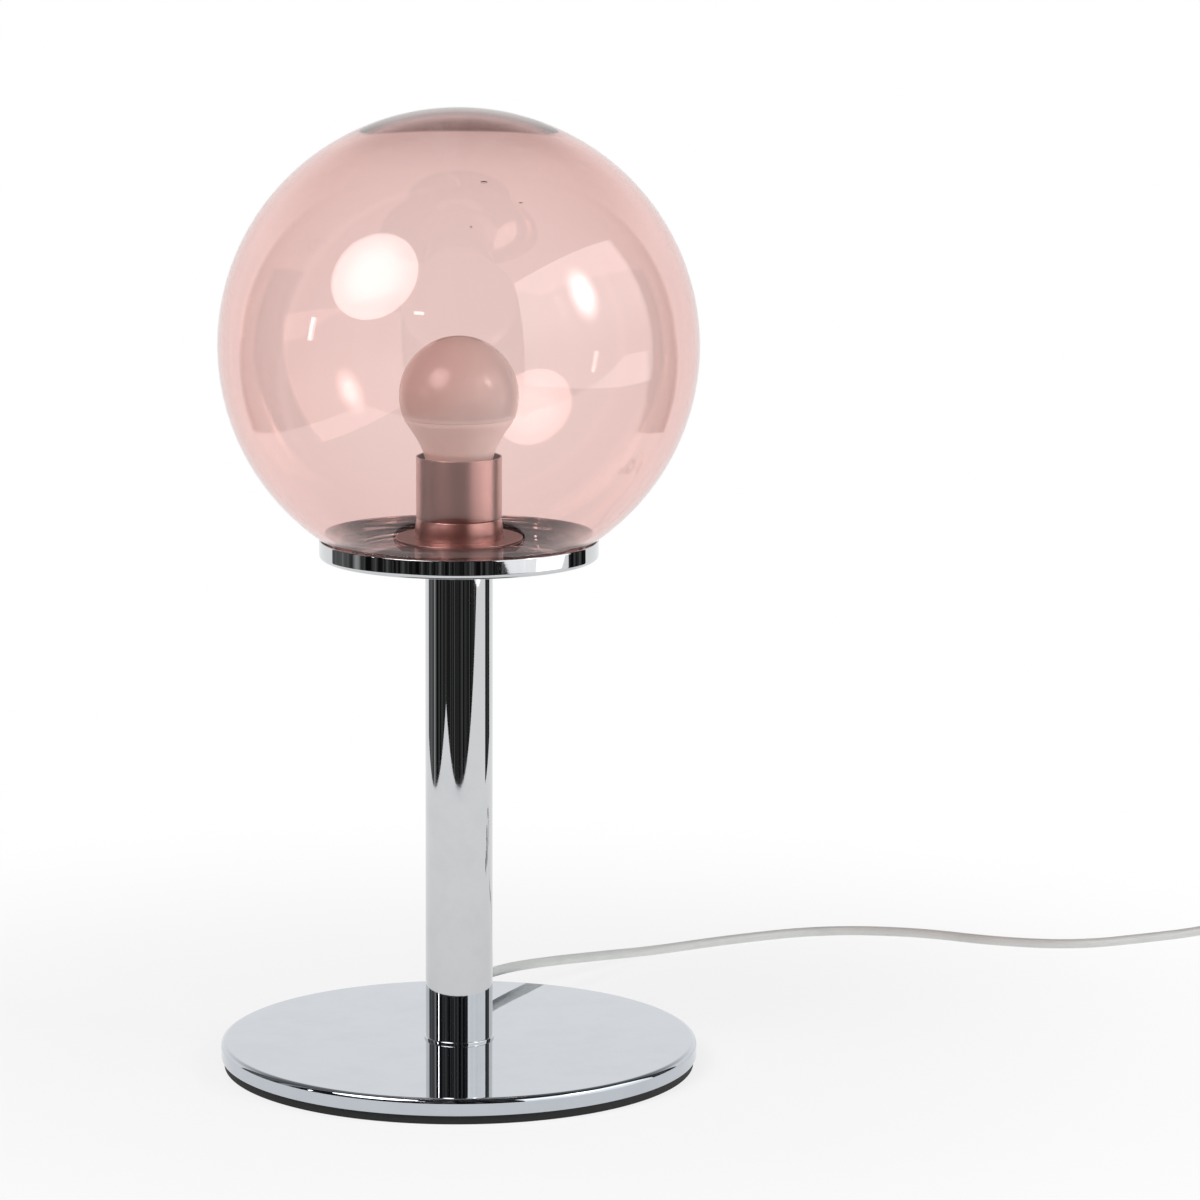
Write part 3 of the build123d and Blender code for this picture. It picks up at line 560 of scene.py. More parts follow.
def rolled_thread(
    mesh: Mesh, root: float, crest: float, bottom: float, turns: int, wall: float = 0.3
) -> None:
    """Adds a rolled screw thread of the bulb's pitch round the Z axis, as a thin wall.

    Args:
        mesh: where it is made.
        root: the smallest radius of its outer side, in millimetres.
        crest: the largest.
        bottom: the level at which it starts.
        turns: how many turns it has.
        wall: the wall's thickness, inwards.
    """
    before = set(mesh.verts)
    swell = (crest - root) / 2
    steps_a_pitch, steps_a_turn = 8, 48
    wave = []
    for k in range(steps_a_pitch + 1):
        share = k / steps_a_pitch
        radius = root + swell * (1 - math.cos(2 * math.pi * share))
        wave.append(mesh.verts.new((radius * MM, 0, (bottom + share * THREAD_PITCH) * MM)))
    lines = [mesh.edges.new(pair) for pair in zip(wave, wave[1:])]
    bmesh.ops.spin(
        mesh, geom=wave + lines, cent=(0, 0, 0), axis=(0, 0, 1), angle=2 * math.pi * turns,
        dvec=(0, 0, THREAD_PITCH * MM / steps_a_turn), steps=steps_a_turn * turns,
        use_merge=False, use_normal_flip=False, use_duplicate=False,
    )
    fresh = [v for v in mesh.verts if v not in before]
    bmesh.ops.remove_doubles(mesh, verts=fresh, dist=1e-6)
    faces = [f for f in mesh.faces if f.verts[0] not in before]
    bmesh.ops.recalc_face_normals(mesh, faces=faces)
    if sum(f.normal.xy.dot(f.calc_center_median().xy) for f in faces) < 0:
        bmesh.ops.reverse_faces(mesh, faces=faces)
    bmesh.ops.solidify(mesh, geom=faces, thickness=wall * MM)


def tube_curve(name: str, routes: Sequence[Sequence[Point]], radius: float) -> Piece:
    """A round flexible piece that follows smooth NURBS lines.

    Args:
        name: the piece's name.
        routes: the control points of each line, in millimetres.
        radius: the tube's radius, in millimetres.

    Returns:
        The new object.
    """
    curve = bpy.data.curves.new(name, "CURVE")
    curve.dimensions = "3D"
    for route in routes:
        line = curve.splines.new("NURBS")
        line.points.add(len(route) - 1)
        for point, place in zip(line.points, route):
            point.co = (*(Vector(place) * MM), 1)
        line.order_u = 3
        line.use_endpoint_u = True
        line.resolution_u = 8
    curve.bevel_depth = radius * MM
    curve.bevel_resolution = 5
    curve.use_fill_caps = True
    return linked(bpy.data.objects.new(name, curve))


def mounted(piece: Piece, body: Body, finish: Finish, stands_for: Sequence[str]) -> Piece:
    """Gives a piece its finish and makes it move with its body.

    Args:
        piece: the piece, in place.
        body: the body that it moves with.
        finish: what it is made of.
        stands_for: CAD nodes that it is shown instead of.

    Returns:
        The same piece.
    """
    piece.data.materials.append(finish.material())
    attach(piece, body.value)
    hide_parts(*stands_for)
    log.info("%s rides on %s in %s", piece.name, body.value, finish.name)
    return piece


def dressed(finish: Finish, *nodes: str) -> None:
    """Gives CAD nodes that are shown as they are their finish.

    Args:
        finish: what they are made of.
        nodes: their names.
    """
    for name in nodes:
        for slot in frame["nodes"][name].material_slots:
            slot.material = finish.material()
        log.info("%s shown as packed in %s", name, finish.name)


# ---------------------------------------------------------------- base and stem
@dataclass
class Base:
    """The heavy chromed disc, the pad under it and the bolt that holds the stem."""

    radius: float = 120.9
    pad_radius: float = 119.3
    pad_bore: float = 17.0
    pad_top: float = 4.2
    top: float = 13.1
    bolt_hole: float = 5.2
    recess: float = 11.9
    recess_top: float = 9.2

    def build(self) -> None:
        """Makes the disc and its pad."""
        plate = corners(
            (self.bolt_hole, self.top), (self.radius, self.top, 2.6), (self.radius, self.pad_top, 1.3),
            (self.recess, self.pad_top), (self.recess, self.recess_top), (self.bolt_hole, self.recess_top),
        )
        mounted(turned("base_disc", plate, steps=256), Body.STAND, DISC_CHROME, ["base_plate"])
        pad = corners(
            (self.pad_bore, 0), (self.pad_radius, 0, 0.5), (self.pad_radius, self.pad_top),
            (self.pad_bore, self.pad_top),
        )
        mounted(turned("foam_pad", pad, steps=192), Body.STAND, FOAM, ["base_pad"])
        dressed(STEEL, "base_bolt", "base_washer")


@dataclass
class Stem:
    """The chromed tube with the thin ring at its foot and the plugs inside its ends."""

    radius: float = 17.0
    bore: float = 15.5
    bottom: float = 14.4
    top: float = 260.1
    ring_radius: float = 17.7
    ring_bottom: float = 13.1

    def build(self) -> None:
        """Makes the tube and its ring."""
        tube = corners(
            (self.bore, self.bottom), (self.radius, self.bottom),
            (self.radius, self.top), (self.bore, self.top),
        )
        mounted(turned("stem_barrel", tube), Body.STAND, CHROME, ["stem_tube"])
        ring = corners(
            (self.bore, self.ring_bottom), (self.ring_radius, self.ring_bottom),
            (self.ring_radius, self.bottom, 0.5), (self.bore, self.bottom),
        )
        mounted(turned("foot_ring", ring), Body.STAND, CHROME, ["stem_ring"])
        dressed(STEEL, "stem_foot", "stem_head", "holder_nipple", "nipple_nuts")


# ---------------------------------------------------------------- tray and globe
@dataclass
class Tray:
    """The turned tray with the upright rim, and the clear ring that the globe stands on."""

    radius: float = 70.1
    bore: float = 68.9
    hole: float = 15.0
    bottom: float = 260.1
    floor: float = 262.5
    rim: float = 269.6
    seat_radius: float = 61.65
    seat_bore: float = 52.45
    lip_radius: float = 53.85
    lip_top: float = 266.4
    mouth: float = 264.6

    def build(self) -> None:
        """Makes the tray and the seat ring."""
        tray = corners(
            (self.hole, self.bottom), (self.radius, self.bottom, 2.2), (self.radius, self.rim, 0.5),
            (self.bore, self.rim, 0.5), (self.bore, self.floor, 0.4), (self.hole, self.floor),
        )
        mounted(turned("turned_tray", tray, steps=256), Body.STAND, CHROME, ["collar_tray"])
        seat = corners(
            (self.seat_bore, self.floor), (self.seat_radius, self.floor), (self.seat_radius, self.mouth, 0.3),
            (self.lip_radius, self.mouth), (self.lip_radius, self.lip_top, 0.3),
            (self.seat_bore, self.lip_top, 0.3),
        )
        mounted(turned("seat_ring", seat), Body.STAND, CLEAR_SEAT, ["globe_seat"])


@dataclass(frozen=True)
class Seed:
    """An air bubble in the glass: degrees right of the front and up, half its length and thickness."""

    azimuth: float
    height: float
    long: float
    thick: float


@dataclass
class Globe:
    """The blown globe: two smooth skins, slightly wider than high, joined at a melted lip."""

    radius: float = 120.0
    rise: float = 118.4
    wall: float = 3.0
    lip: float = 0.3
    centre: float = 366.75
    mouth: float = 264.6
    steps: int = 240
    seed_flatness: float = 0.8
    seeds: tuple[Seed, ...] = (
        Seed(8.7, 48.5, 1.6, 0.7), Seed(3.4, 35.5, 0.5, 0.5), Seed(19.5, 42.0, 1.0, 0.4)
    )

    def leave(self, seed: Seed, mesh: Mesh) -> None:
        """Leaves a small air bubble in the middle of the wall.

        Args:
            seed: the bubble.
            mesh: the globe.
        """
        azimuth, height = math.radians(seed.azimuth), math.radians(seed.height)
        wide, tall = self.radius - self.wall / 2, self.rise - self.wall / 2
        reach = wide * math.cos(height)
        middle = Vector((reach * math.sin(azimuth), -reach * math.cos(azimuth), tall * math.sin(height)))
        lie = middle.to_track_quat("Z", "Y").to_matrix().to_4x4()
        thin = seed.thick * MM
        size = Matrix.Diagonal((seed.long * MM, thin, thin * self.seed_flatness, 1))
        where = Matrix.Translation((middle + Vector((0, 0, self.centre))) * MM) @ lie @ size
        bubble = bmesh.ops.create_icosphere(mesh, subdivisions=3, radius=1.0, matrix=where)
        bmesh.ops.reverse_faces(mesh, faces=list({f for v in bubble["verts"] for f in v.link_faces}))

    def build(self) -> None:
        """Makes the globe."""
        mesh = bmesh.new()
        feet = [
            half_oval(mesh, self.radius - inset, self.rise - inset, self.centre, self.mouth, self.steps)
            for inset in (0, self.wall)
        ]
        mesh.edges.new(feet)
        rounded(mesh, feet, self.wall * self.lip, 5)
        spin_round(mesh, self.steps)
        for seed in self.seeds:
            self.leave(seed, mesh)
        globe = mounted(finished(mesh, "blown_globe"), Body.GLOBE, ROSE_GLASS, ["glass_globe"])
        globe.visible_diffuse = False


# ---------------------------------------------------------------- lamp holder
@dataclass
class Holder:
    """The plated lamp holder: cup, flange ring, open sleeve, ceramic core and brass screw shell."""

    cup: float = 22.3
    flange: float = 32.0
    sleeve: float = 21.5
    sleeve_bore: float = 20.7
    sleeve_bottom: float = 280.7
    sleeve_top: float = 311.5

    def build(self) -> None:
        """Makes the holder's visible pieces."""
        cup = corners(
            (5.05, 246), (14.8, 246), (14.8, 262.5), (self.cup, 262.5), (self.cup, 267.9),
            (self.cup + 1, 268.3, 0.2), (self.cup + 1, 269.1), (self.cup, 269.1), (self.cup, 271.5, 1.5),
            (self.cup - 0.25, 276.0, 2.0), (21.1, 280.5, 0.4), (20.5, 280.5), (20.5, 285.5, 0.2),
            (19.5, 285.5, 0.2), (19.5, 263.5), (13.8, 263.5), (13.8, 248), (5.05, 248),
        )
        mounted(turned("holder_bell", cup), Body.STAND, PAINTED_ROSE_LIGHT_HOLDER, ["holder_cup"])
        flange = corners(
            (22.5, 269.1), (self.flange, 269.1, 0.45), (self.flange, 270.5, 0.45), (22.5, 270.5, 0.2)
        )
        mounted(turned("holder_ring", flange), Body.STAND, PAINTED_ROSE_LIGHT_HOLDER, ["holder_flange"])
        sleeve = corners(
            (self.sleeve_bore, self.sleeve_bottom), (self.sleeve, self.sleeve_bottom, 0.2),
            (self.sleeve, self.sleeve_top, 0.3), (self.sleeve_bore, self.sleeve_top, 0.3),
        )
        mounted(turned("open_sleeve", sleeve), Body.STAND, PAINTED_ROSE_LIGHT_HOLDER, ["holder_sleeve"])
        shell = bmesh.new()
        rolled_thread(shell, root=13.75, crest=14.35, bottom=268.3, turns=6)
        mounted(finished(shell, "threaded_shell", 60.0), Body.STAND, BRASS, ["screw_shell"])
        dressed(CERAMIC, "holder_core")
        dressed(BRASS, "centre_contact", "side_contact", "terminal_blocks")
        dressed(STEEL, "terminal_screws")
        wire = ((1.05, 0.1, 252.5), (1.05, 0, 255.5), (1.2, 0, 258.2), (3.4, 0, 258.5))
        wires = [[(side * x, y, z) for x, y, z in wire] for side in (-1, 1)]
        mounted(tube_curve("core_wire_pair", wires, 0.85), Body.STAND, WIRE_SHEATH, ["core_wires"])


# ---------------------------------------------------------------- bulb
@dataclass
class Bulb:
    """The opal bulb: dome, flared body, screw cap."""

    radius: float = 30.0
    centre: float = 341.8
    seam: float = 331.0
    skin: float = 1.2
    steps: int = 128

    def dome(self) -> Piece:
        """Makes the opal dome, a hollow ball cut level at the seam.

        Returns:
            The new object.
        """
        mesh = bmesh.new()
        feet = [
            half_oval(mesh, self.radius - inset, self.radius - inset, self.centre, self.seam, self.steps)
            for inset in (0, self.skin)
        ]
        mesh.edges.new(feet)
        spin_round(mesh, self.steps)
        return finished(mesh, "painted_rose_light_dome")

    def cap(self) -> Piece:
        """Makes the screw cap, a rolled thread between an upper and a lower ring.

        Returns:
            The new object.
        """
        mesh = bmesh.new()
        rolled_thread(mesh, root=12.3, crest=13.05, bottom=272.2, turns=4)
        upper = corners(
            (12.25, 286.0), (12.75, 286.0, 0.2), (13.05, 287.2, 0.3), (13.05, 292.4, 0.3),
            (12.7, 292.4), (12.7, 287.4),
        )
        lower = corners(
            (11.0, 269.95), (12.35, 271.3, 0.6), (12.35, 273.0), (12.0, 273.0), (12.0, 271.6), (10.8, 270.3)
        )
        for section in (upper, lower):
            ring = bmesh.new()
            draw_section(ring, section, closed=True, arc=3)
            spin_round(ring, 96)
            data = bpy.data.meshes.new("cap_ring")
            ring.to_mesh(data)
            ring.free()
            mesh.from_mesh(data)
            bpy.data.meshes.remove(data)
        return finished(mesh, "threaded_cap", 50.0)

    def build(self) -> None:
        """Makes the bulb's pieces."""
        mounted(self.dome(), Body.BULB, PAINTED_ROSE_LIGHT_DOME, ["bulb_dome"])
        body = corners(
            (11.1, 285.6), (12.6, 285.6), (12.6, 292.55), (13.7, 292.6, 0.3), (13.9, 294.2, 0.6),
            (15.1, 300.5, 6.0), (16.9, 311.5, 9.0), (21.2, 320.8, 10.0), (27.2, 329.3, 1.0),
            (27.78, 330.95, 0.25), (26.2, 330.95), (20.0, 320.8, 8.0), (15.2, 311.0, 6.0), (13.0, 300.0, 4.0),
        )
        mounted(turned("flared_body", body, steps=self.steps), Body.BULB, PAINTED_ROSE_LIGHT_BULB_BODY, ["bulb_body"])
        mounted(self.cap(), Body.BULB, NICKEL, ["bulb_cap"])
        tip = corners((0, 267.8), (4.6, 267.8), (4.6, 267.5, 0.25), (3.4, 266.85, 0.8), (0, 266.8))
        mounted(turned("solder_tip", tip, closed=False, steps=64), Body.SCREW, NICKEL, ["bulb_tip"])
        dressed(BLACK_GLASS, "bulb_insulator")
        dressed(BOARD, "led_board", "driver_board")
        dressed(PHOSPHOR, "led_chips")


# ---------------------------------------------------------------- flex
@dataclass
class Flex:
    """The round flex, from the stem's back over the disc and along the table to its plug."""

    radius: float = 2.6
    coil_x: float = 478.0
    coil_y: float = 172.0
    coil_radius: float = 28.9
    coil_turns: float = 5.25
    coil_step: float = 5.75
    points_a_turn: int = 16

    def coil(self) -> list[Point]:
        """Control points of the put-away coil, in millimetres.

        Returns:
            The points, a little outside the coil's line, which the spline rounds off.
        """
        outer = self.coil_radius + self.coil_step * self.coil_turns / 4
        grow = 1 / math.cos(math.pi / self.points_a_turn)
        points = []
        for k in range(round(self.coil_turns * self.points_a_turn)):
            turn = (k + 0.5) / self.points_a_turn
            past = turn - self.coil_turns / 2
            reach = (outer - self.coil_step * (self.coil_turns / 2 - abs(past))) * grow
            climb = min(max(past / 0.5 + 0.5, 0.0), 1.0)
            angle = math.radians(90 + 360 * turn)
            level = self.radius + self.coil_step * (3 * climb**2 - 2 * climb**3)
            x, y = self.coil_x + reach * math.cos(angle), self.coil_y + reach * math.sin(angle)
            points.append((x, y, level))
        return points

    def route(self) -> list[Point]:
        """All control points of the flex, from the stem to the plug.

        Returns:
            The points, in millimetres.
        """
        low = self.radius
        run = [
            (0, 40, 24.5), (0, 66, 24.5), (22, 109, 21.8), (45, 139, 18.2), (75, 183, 10.6),
            (107, 225, 3.4), (151, 254.5, low), (204, 277.5, low), (257, 272.5, low), (302, 248, low),
            (346, 240, low), (388, 257, low), (417, 269.5, 3.0), (437, 272, 7), (452, 272, 7),
        ]
        lead = [
            (512, 272, 7), (527, 272, 7), (551, 270, low), (568.5, 249, low), (564, 222, low),
            (540, 209.6, low), (512, 208.45, low), (483.2, 208.45, low),
        ]
        tail = [(441.55, 166.8, 8.35), (441.55, 154.8, 8.35), (439.95, 142.8, 6.85), (439.95, 132.8, 6.85)]
        return run + lead + self.coil() + tail

    def build(self) -> Piece:
        """Makes the flex as one smooth curve, and the piece of it inside the stem.

        Returns:
            The curve of the free flex.
        """
        flex = tube_curve("flex", [self.route()], self.radius)
        mounted(flex, Body.STAND, FLEX_GREY, ["cord_run", "cord_lead", "cord_coil", "cord_tail"])
        inner = [
            (0, 39.8, 24.5), (0, 24, 24.5), (0, 8, 24.5), (0, -3.5, 26.0), (0, -8.6, 33.0), (0, -9.3, 48.0),
            (0, -6.6, 96.0), (0, -3.0, 176.0), (0, 0.1, 244.6), (0, 0.4, 252.3),
        ]
        mounted(tube_curve("inner_flex", [inner], self.radius - 0.05), Body.STAND, FLEX_GREY, ["inner_cord"])
        return flex


@dataclass
class Bushing:
    """The moulded bushing where the flex leaves the stem: a lip, a collar and a ribbed, tapered tail."""

    level: float = 24.5
    back: float = 17.0
    ribs: int = 5
    tail: Pair = (3.6, 22.6)
    tail_radii: Pair = (4.9, 3.7)

    def build(self) -> None:
        """Makes the bushing as a turned piece that lies along +Y."""
        section = [
            (2.65, -4.2), (4.4, -4.2, 0.2), (4.75, -2.7, 0.2), (4.25, -2.6), (4.25, 0.4), (5.85, 0.6, 0.3),
            (5.85, 2.1, 0.5), (5.0, 2.3, 0.3),
        ]
        (start, end), (wide, slim) = self.tail, self.tail_radii
        pitch = (end - start) / self.ribs
        for k in range(self.ribs):
            near = start + k * pitch
            outer = wide + (slim - wide) * k / (self.ribs - 1)
            section += [
                (outer, near, 0.25), (outer - 0.12, near + pitch * 0.62, 0.25),
                (outer - 0.75, near + pitch * 0.72), (outer - 0.78, near + pitch * 0.92),
            ]
        section += [(3.45, end, 0.3), (3.3, 23.0, 0.2), (2.65, 23.0)]
        lie = Matrix.Translation((0, self.back * MM, self.level * MM)) @ Matrix.Rotation(-math.pi / 2, 4, "X")
        piece = turned("ribbed_bushing", corners(*section), steps=96, places=[lie])
        mounted(piece, Body.STAND, FLEX_GREY, ["cord_bushing"])


@dataclass
class Plug:
    """The flat two-pin plug that lies by the coil, with its pins towards the lamp's front."""

    entry: Point = (439.95, 132.8, 6.85)
    length: float = 33.0
    pin_spacing: float = 18.6
    pin_radius: float = 2.0
    sleeve_radius: float = 1.9
    sleeve_end: float = 9.5

    def across(self, along: float) -> Matrix:
        """The place of a section that far from where the flex enters, facing the pins."""
        x, y, z = self.entry
        return Matrix.Translation((x * MM, (y - along) * MM, z * MM)) @ Matrix.Rotation(math.pi / 2, 4, "X")

    def body(self) -> Piece:
        """Makes the moulded body, bridged through oval sections with grooves at the flex's end.

        Returns:
            The new object.
        """
        sections = [
            (0.0, 3.9, 3.7), (0.5, 4.3, 4.0), (3.0, 4.5, 4.2), (3.3, 3.7, 3.5), (4.1, 3.7, 3.5),
            (4.4, 4.9, 4.4), (7.0, 5.9, 4.7), (7.3, 5.0, 3.9), (8.1, 5.2, 3.9), (8.4, 6.6, 4.8),
            (11.0, 7.9, 5.1), (11.3, 6.9, 4.3), (12.1, 7.3, 4.3), (12.4, 8.9, 5.4), (15.0, 11.2, 5.9),
            (18.0, 14.0, 6.35), (21.0, 16.2, 6.65), (24.0, 17.35, 6.78), (27.0, 17.6, 6.82),
            (31.6, 17.6, 6.82), (32.5, 17.3, 6.6), (self.length, 16.6, 6.0),
        ]
        mesh = bmesh.new()
        rings = []
        for along, half_wide, half_high in sections:
            made = bmesh.ops.create_circle(
                mesh, cap_ends=False, radius=MM, segments=56,
                matrix=self.across(along) @ Matrix.Diagonal((half_wide, half_high, 1, 1)),
            )["verts"]
            rings.append(edges_at(made))
        for near, far in zip(rings, rings[1:]):
            bmesh.ops.bridge_loops(mesh, edges=near + far)
        bmesh.ops.holes_fill(mesh, edges=rings[0] + rings[-1], sides=0)
        bmesh.ops.recalc_face_normals(mesh, faces=mesh.faces[:])
        return finished(mesh, "plug_shell", 40.0)

    def build(self) -> None:
        """Makes the body, the pins and their insulating sleeves."""
        mounted(self.body(), Body.STAND, FLEX_GREY, ["plug_body"])
        half = self.pin_spacing / 2 * MM
        roots = [self.across(self.length) @ Matrix.Translation((side * half, 0, 0)) for side in (-1, 1)]
        bare = corners(
            (0, self.sleeve_end), (self.pin_radius, self.sleeve_end, 0.15),
            (self.pin_radius, 18.9, 1.7), (0, 18.95),
        )
        pins = turned("round_pins", bare, closed=False, steps=48, places=roots)
        mounted(pins, Body.STAND, NICKEL, ["plug_pins"])
        sleeve = corners(
            (0, 0.02), (self.sleeve_radius, 0.02),
            (self.sleeve_radius, self.sleeve_end, 0.2), (0, self.sleeve_end),
        )
        sleeves = turned("pin_insulation", sleeve, closed=False, steps=48, places=roots)
        mounted(sleeves, Body.STAND, PIN_SLEEVE, ["pin_sleeves"])


@dataclass
class Switch:
    """The in-line rocker switch: two half shells, a rocker and two screws underneath."""

    middle: Pair = (482.0, 272.0)
    half_long: float = 30.0
    half_wide: float = 12.0
    half_end: float = 5.1
    straight: float = 11.5
    split: float = 7.0
    top: float = 15.0
    gap: float = 0.15
    corner: float = 3.0
    window: Pair = (9.43, 5.4)
    rocker_length: float = 17.0
    rocker_width: float = 10.0
    crown: float = 4.4
    dish: float = 1.2
    skirt: float = 0.6
    heel: Pair = (3.0, -2.4)
    pin_radius: float = 1.0
    pin_length: float = 14.4
    pivot: float = 10.8
    tilt: float = 8.0

    def loop(self, mesh: Mesh, rows: Sequence[Pair], level: float) -> tuple[list[Vert], list[Edge]]:
        """Draws a closed loop of lines, seen from above.

        Args:
            mesh: where it is drawn.
            rows: its corners, from the switch's middle.
            level: its level in millimetres.

        Returns:
            Its corners and its lines.
        """
        x, y = self.middle
        points = [mesh.verts.new(((x + a) * MM, (y + b) * MM, level * MM)) for a, b in rows]
        return points, [mesh.edges.new(pair) for pair in zip(points, points[1:] + points[:1])]

    def outline(self, mesh: Mesh, level: float) -> list[Edge]:
        """Draws the switch's outline from above, with rounded corners.

        Args:
            mesh: where it is drawn.
            level: its level in millimetres.

        Returns:
            Its edges.
        """
        before = set(mesh.verts)
        rows = [
            (-self.half_long, -self.half_end), (-self.straight, -self.half_wide),
            (self.straight, -self.half_wide), (self.half_long, -self.half_end),
            (self.half_long, self.half_end), (self.straight, self.half_wide),
            (-self.straight, self.half_wide), (-self.half_long, self.half_end),
        ]
        rounded(mesh, self.loop(mesh, rows, level)[0], self.corner, 5)
        return edges_at(v for v in mesh.verts if v not in before)

    def at_window(self, edge: Edge) -> bool:
        """Whether an edge lies round the rocker's window."""
        x, y = (place * MM for place in self.middle)
        a, b = ((half + 0.2) * MM for half in self.window)
        return all(abs(v.co.x - x) < a and abs(v.co.y - y) < b for v in edge.verts)

    def half_shell(self, name: str, levels: Pair, rim: float, rounding: float, window: bool = False) -> Piece:
        """Makes one half shell by extruding the outline.

        Args:
            name: the piece's name.
            levels: its lower and upper level.
            rim: the level whose outer edge is rounded.
            rounding: that rounding's radius.
            window: whether the rocker's window goes through it.

        Returns:
            The new object.
        """
        mesh = bmesh.new()
        low, high = levels
        outer = self.outline(mesh, low)
        if window:
            a, b = self.window
            inner = self.loop(mesh, ((-a, -b), (a, -b), (a, b), (-a, b)), low)[1]
            bmesh.ops.bridge_loops(mesh, edges=outer + inner)
        else:
            bmesh.ops.contextual_create(mesh, geom=outer)
        grown = bmesh.ops.extrude_face_region(mesh, geom=mesh.faces[:], use_keep_orig=True)["geom"]
        bmesh.ops.translate(mesh, vec=(0, 0, (high - low) * MM), verts=points_of(grown))
        bmesh.ops.recalc_face_normals(mesh, faces=mesh.faces[:])
        turning = sharp_edges(mesh.edges, 60)
        on_rim = [e for e in turning if all(abs(v.co.z - rim * MM) < 1e-6 for v in e.verts)]
        rounded(mesh, [e for e in on_rim if not (window and self.at_window(e))], rounding, 4, Rounds.EDGES)
        return finished(mesh, name, 40.0)

    def rocker(self) -> Piece:
        """Makes the dished rocker with its pin, tipped to its off side.

        Returns:
            The new object.
        """
        mesh = bmesh.new()
        half = self.rocker_length / 2
        shares = [1 - k / 5 for k in range(10)]
        dished = [(half * share, self.crown - self.dish * (1 - share**2)) for share in shares]
        wide, deep = self.heel
        rows = [(-half, self.crown), (-half, self.skirt), (-wide, deep), (wide, deep), (half, self.skirt)]
        points = [mesh.verts.new((a * MM, 0, b * MM)) for a, b in rows + dished]
        bmesh.ops.contextual_create(mesh, geom=points)
        grown = bmesh.ops.extrude_face_region(mesh, geom=mesh.faces[:], use_keep_orig=True)["geom"]
        bmesh.ops.translate(mesh, vec=(0, self.rocker_width * MM, 0), verts=points_of(grown))
        bmesh.ops.translate(mesh, vec=(0, -self.rocker_width / 2 * MM, 0), verts=mesh.verts[:])
        bmesh.ops.recalc_face_normals(mesh, faces=mesh.faces[:])
        rounded(mesh, sharp_edges(mesh.edges, 40), 0.4, 3, Rounds.EDGES)
        pin = bmesh.ops.create_cone(
            mesh, cap_ends=True, segments=32, radius1=self.pin_radius * MM, radius2=self.pin_radius * MM,
            depth=self.pin_length * MM, matrix=Matrix.Rotation(math.pi / 2, 4, "X"),
        )["verts"]
        rounded(mesh, sharp_edges(edges_at(pin), 60), 0.2, 2, Rounds.EDGES)
        place = Matrix.Translation(Vector((*self.middle, self.pivot)) * MM)
        tipped = Matrix.Rotation(-math.radians(self.tilt), 4, "Y")
        bmesh.ops.transform(mesh, matrix=place @ tipped, verts=mesh.verts[:])
        return finished(mesh, "dished_rocker", 40.0)

    def build(self) -> None:
        """Makes the switch's pieces."""
        base = self.half_shell("switch_tub", (0.0, self.split - self.gap), rim=0.0, rounding=1.0)
        mounted(base, Body.STAND, SWITCH_WHITE, ["switch_base"])
        cover = self.half_shell("switch_lid", (self.split, self.top), rim=self.top, rounding=1.8, window=True)
        mounted(cover, Body.STAND, SWITCH_WHITE, ["switch_cover"])
        mounted(self.rocker(), Body.ROCKER, SWITCH_WHITE, ["switch_rocker"])
        dressed(SWITCH_WHITE, "rocker_lugs")
        dressed(BRASS, "switch_contacts")
        dressed(STEEL, "switch_screws")


# ---------------------------------------------------------------- studio
@dataclass
class PhotoCamera:
    """The camera of the photograph, as its place and three turns.

    Its lens and sensor are in millimetres, and how far it sees is in metres.
    """

    place: Point = (0.0, -2.4745, 0.6557)
    yaw: float = 0.0285866
    pitch: float = 0.1669309
    roll: float = 0.004524
    lens: float = 149.971
    sensor: float = 36.0
    sees: float = 60.0

    def build(self) -> None:
        """Makes the scene's camera."""
        right = Vector((math.cos(self.yaw), -math.sin(self.yaw), 0))
        level = math.cos(self.pitch)
        ahead = Vector((math.sin(self.yaw) * level, math.cos(self.yaw) * level, -math.sin(self.pitch)))
        up = right.cross(ahead)
        tilted = right * math.cos(self.roll) + up * math.sin(self.roll)
        upright = up * math.cos(self.roll) - right * math.sin(self.roll)
        data = bpy.data.cameras.new("photo_camera")
        data.lens = self.lens
        data.sensor_width = self.sensor
        data.clip_end = self.sees
        camera = linked(bpy.data.objects.new("photo_camera", data))
        turn = Matrix((tilted, upright, -ahead)).transposed().to_4x4()
        camera.matrix_world = Matrix.Translation(self.place) @ turn
        bpy.context.scene.camera = camera


def area_lamp(name: str, place: Vector, way: Vector, size: Pair, level: float, outline: Outline) -> Piece:
    """Adds a flat lamp that the camera doesn't see.

    Args:
        name: its name.
        place: its middle, in metres.
        way: the direction that its back faces.
        size: its width and height in metres.
        level: its brightness, where 1 shows as white.
        outline: the shape of its front.

    Returns:
        The new object.
    """
    data = bpy.data.lights.new(name, "AREA")
    data.shape = outline.value
    data.size, data.size_y = size
    area = size[0] * size[1] * (1.0 if outline is Outline.OBLONG else math.pi / 4)
    data.energy = 4 * area * level
    lamp = linked(bpy.data.objects.new(name, data))
    lamp.location = place
    lamp.rotation_mode = "QUATERNION"
    lamp.rotation_quaternion = way.to_track_quat("Z", "Y")
    lamp.visible_camera = False
    return lamp


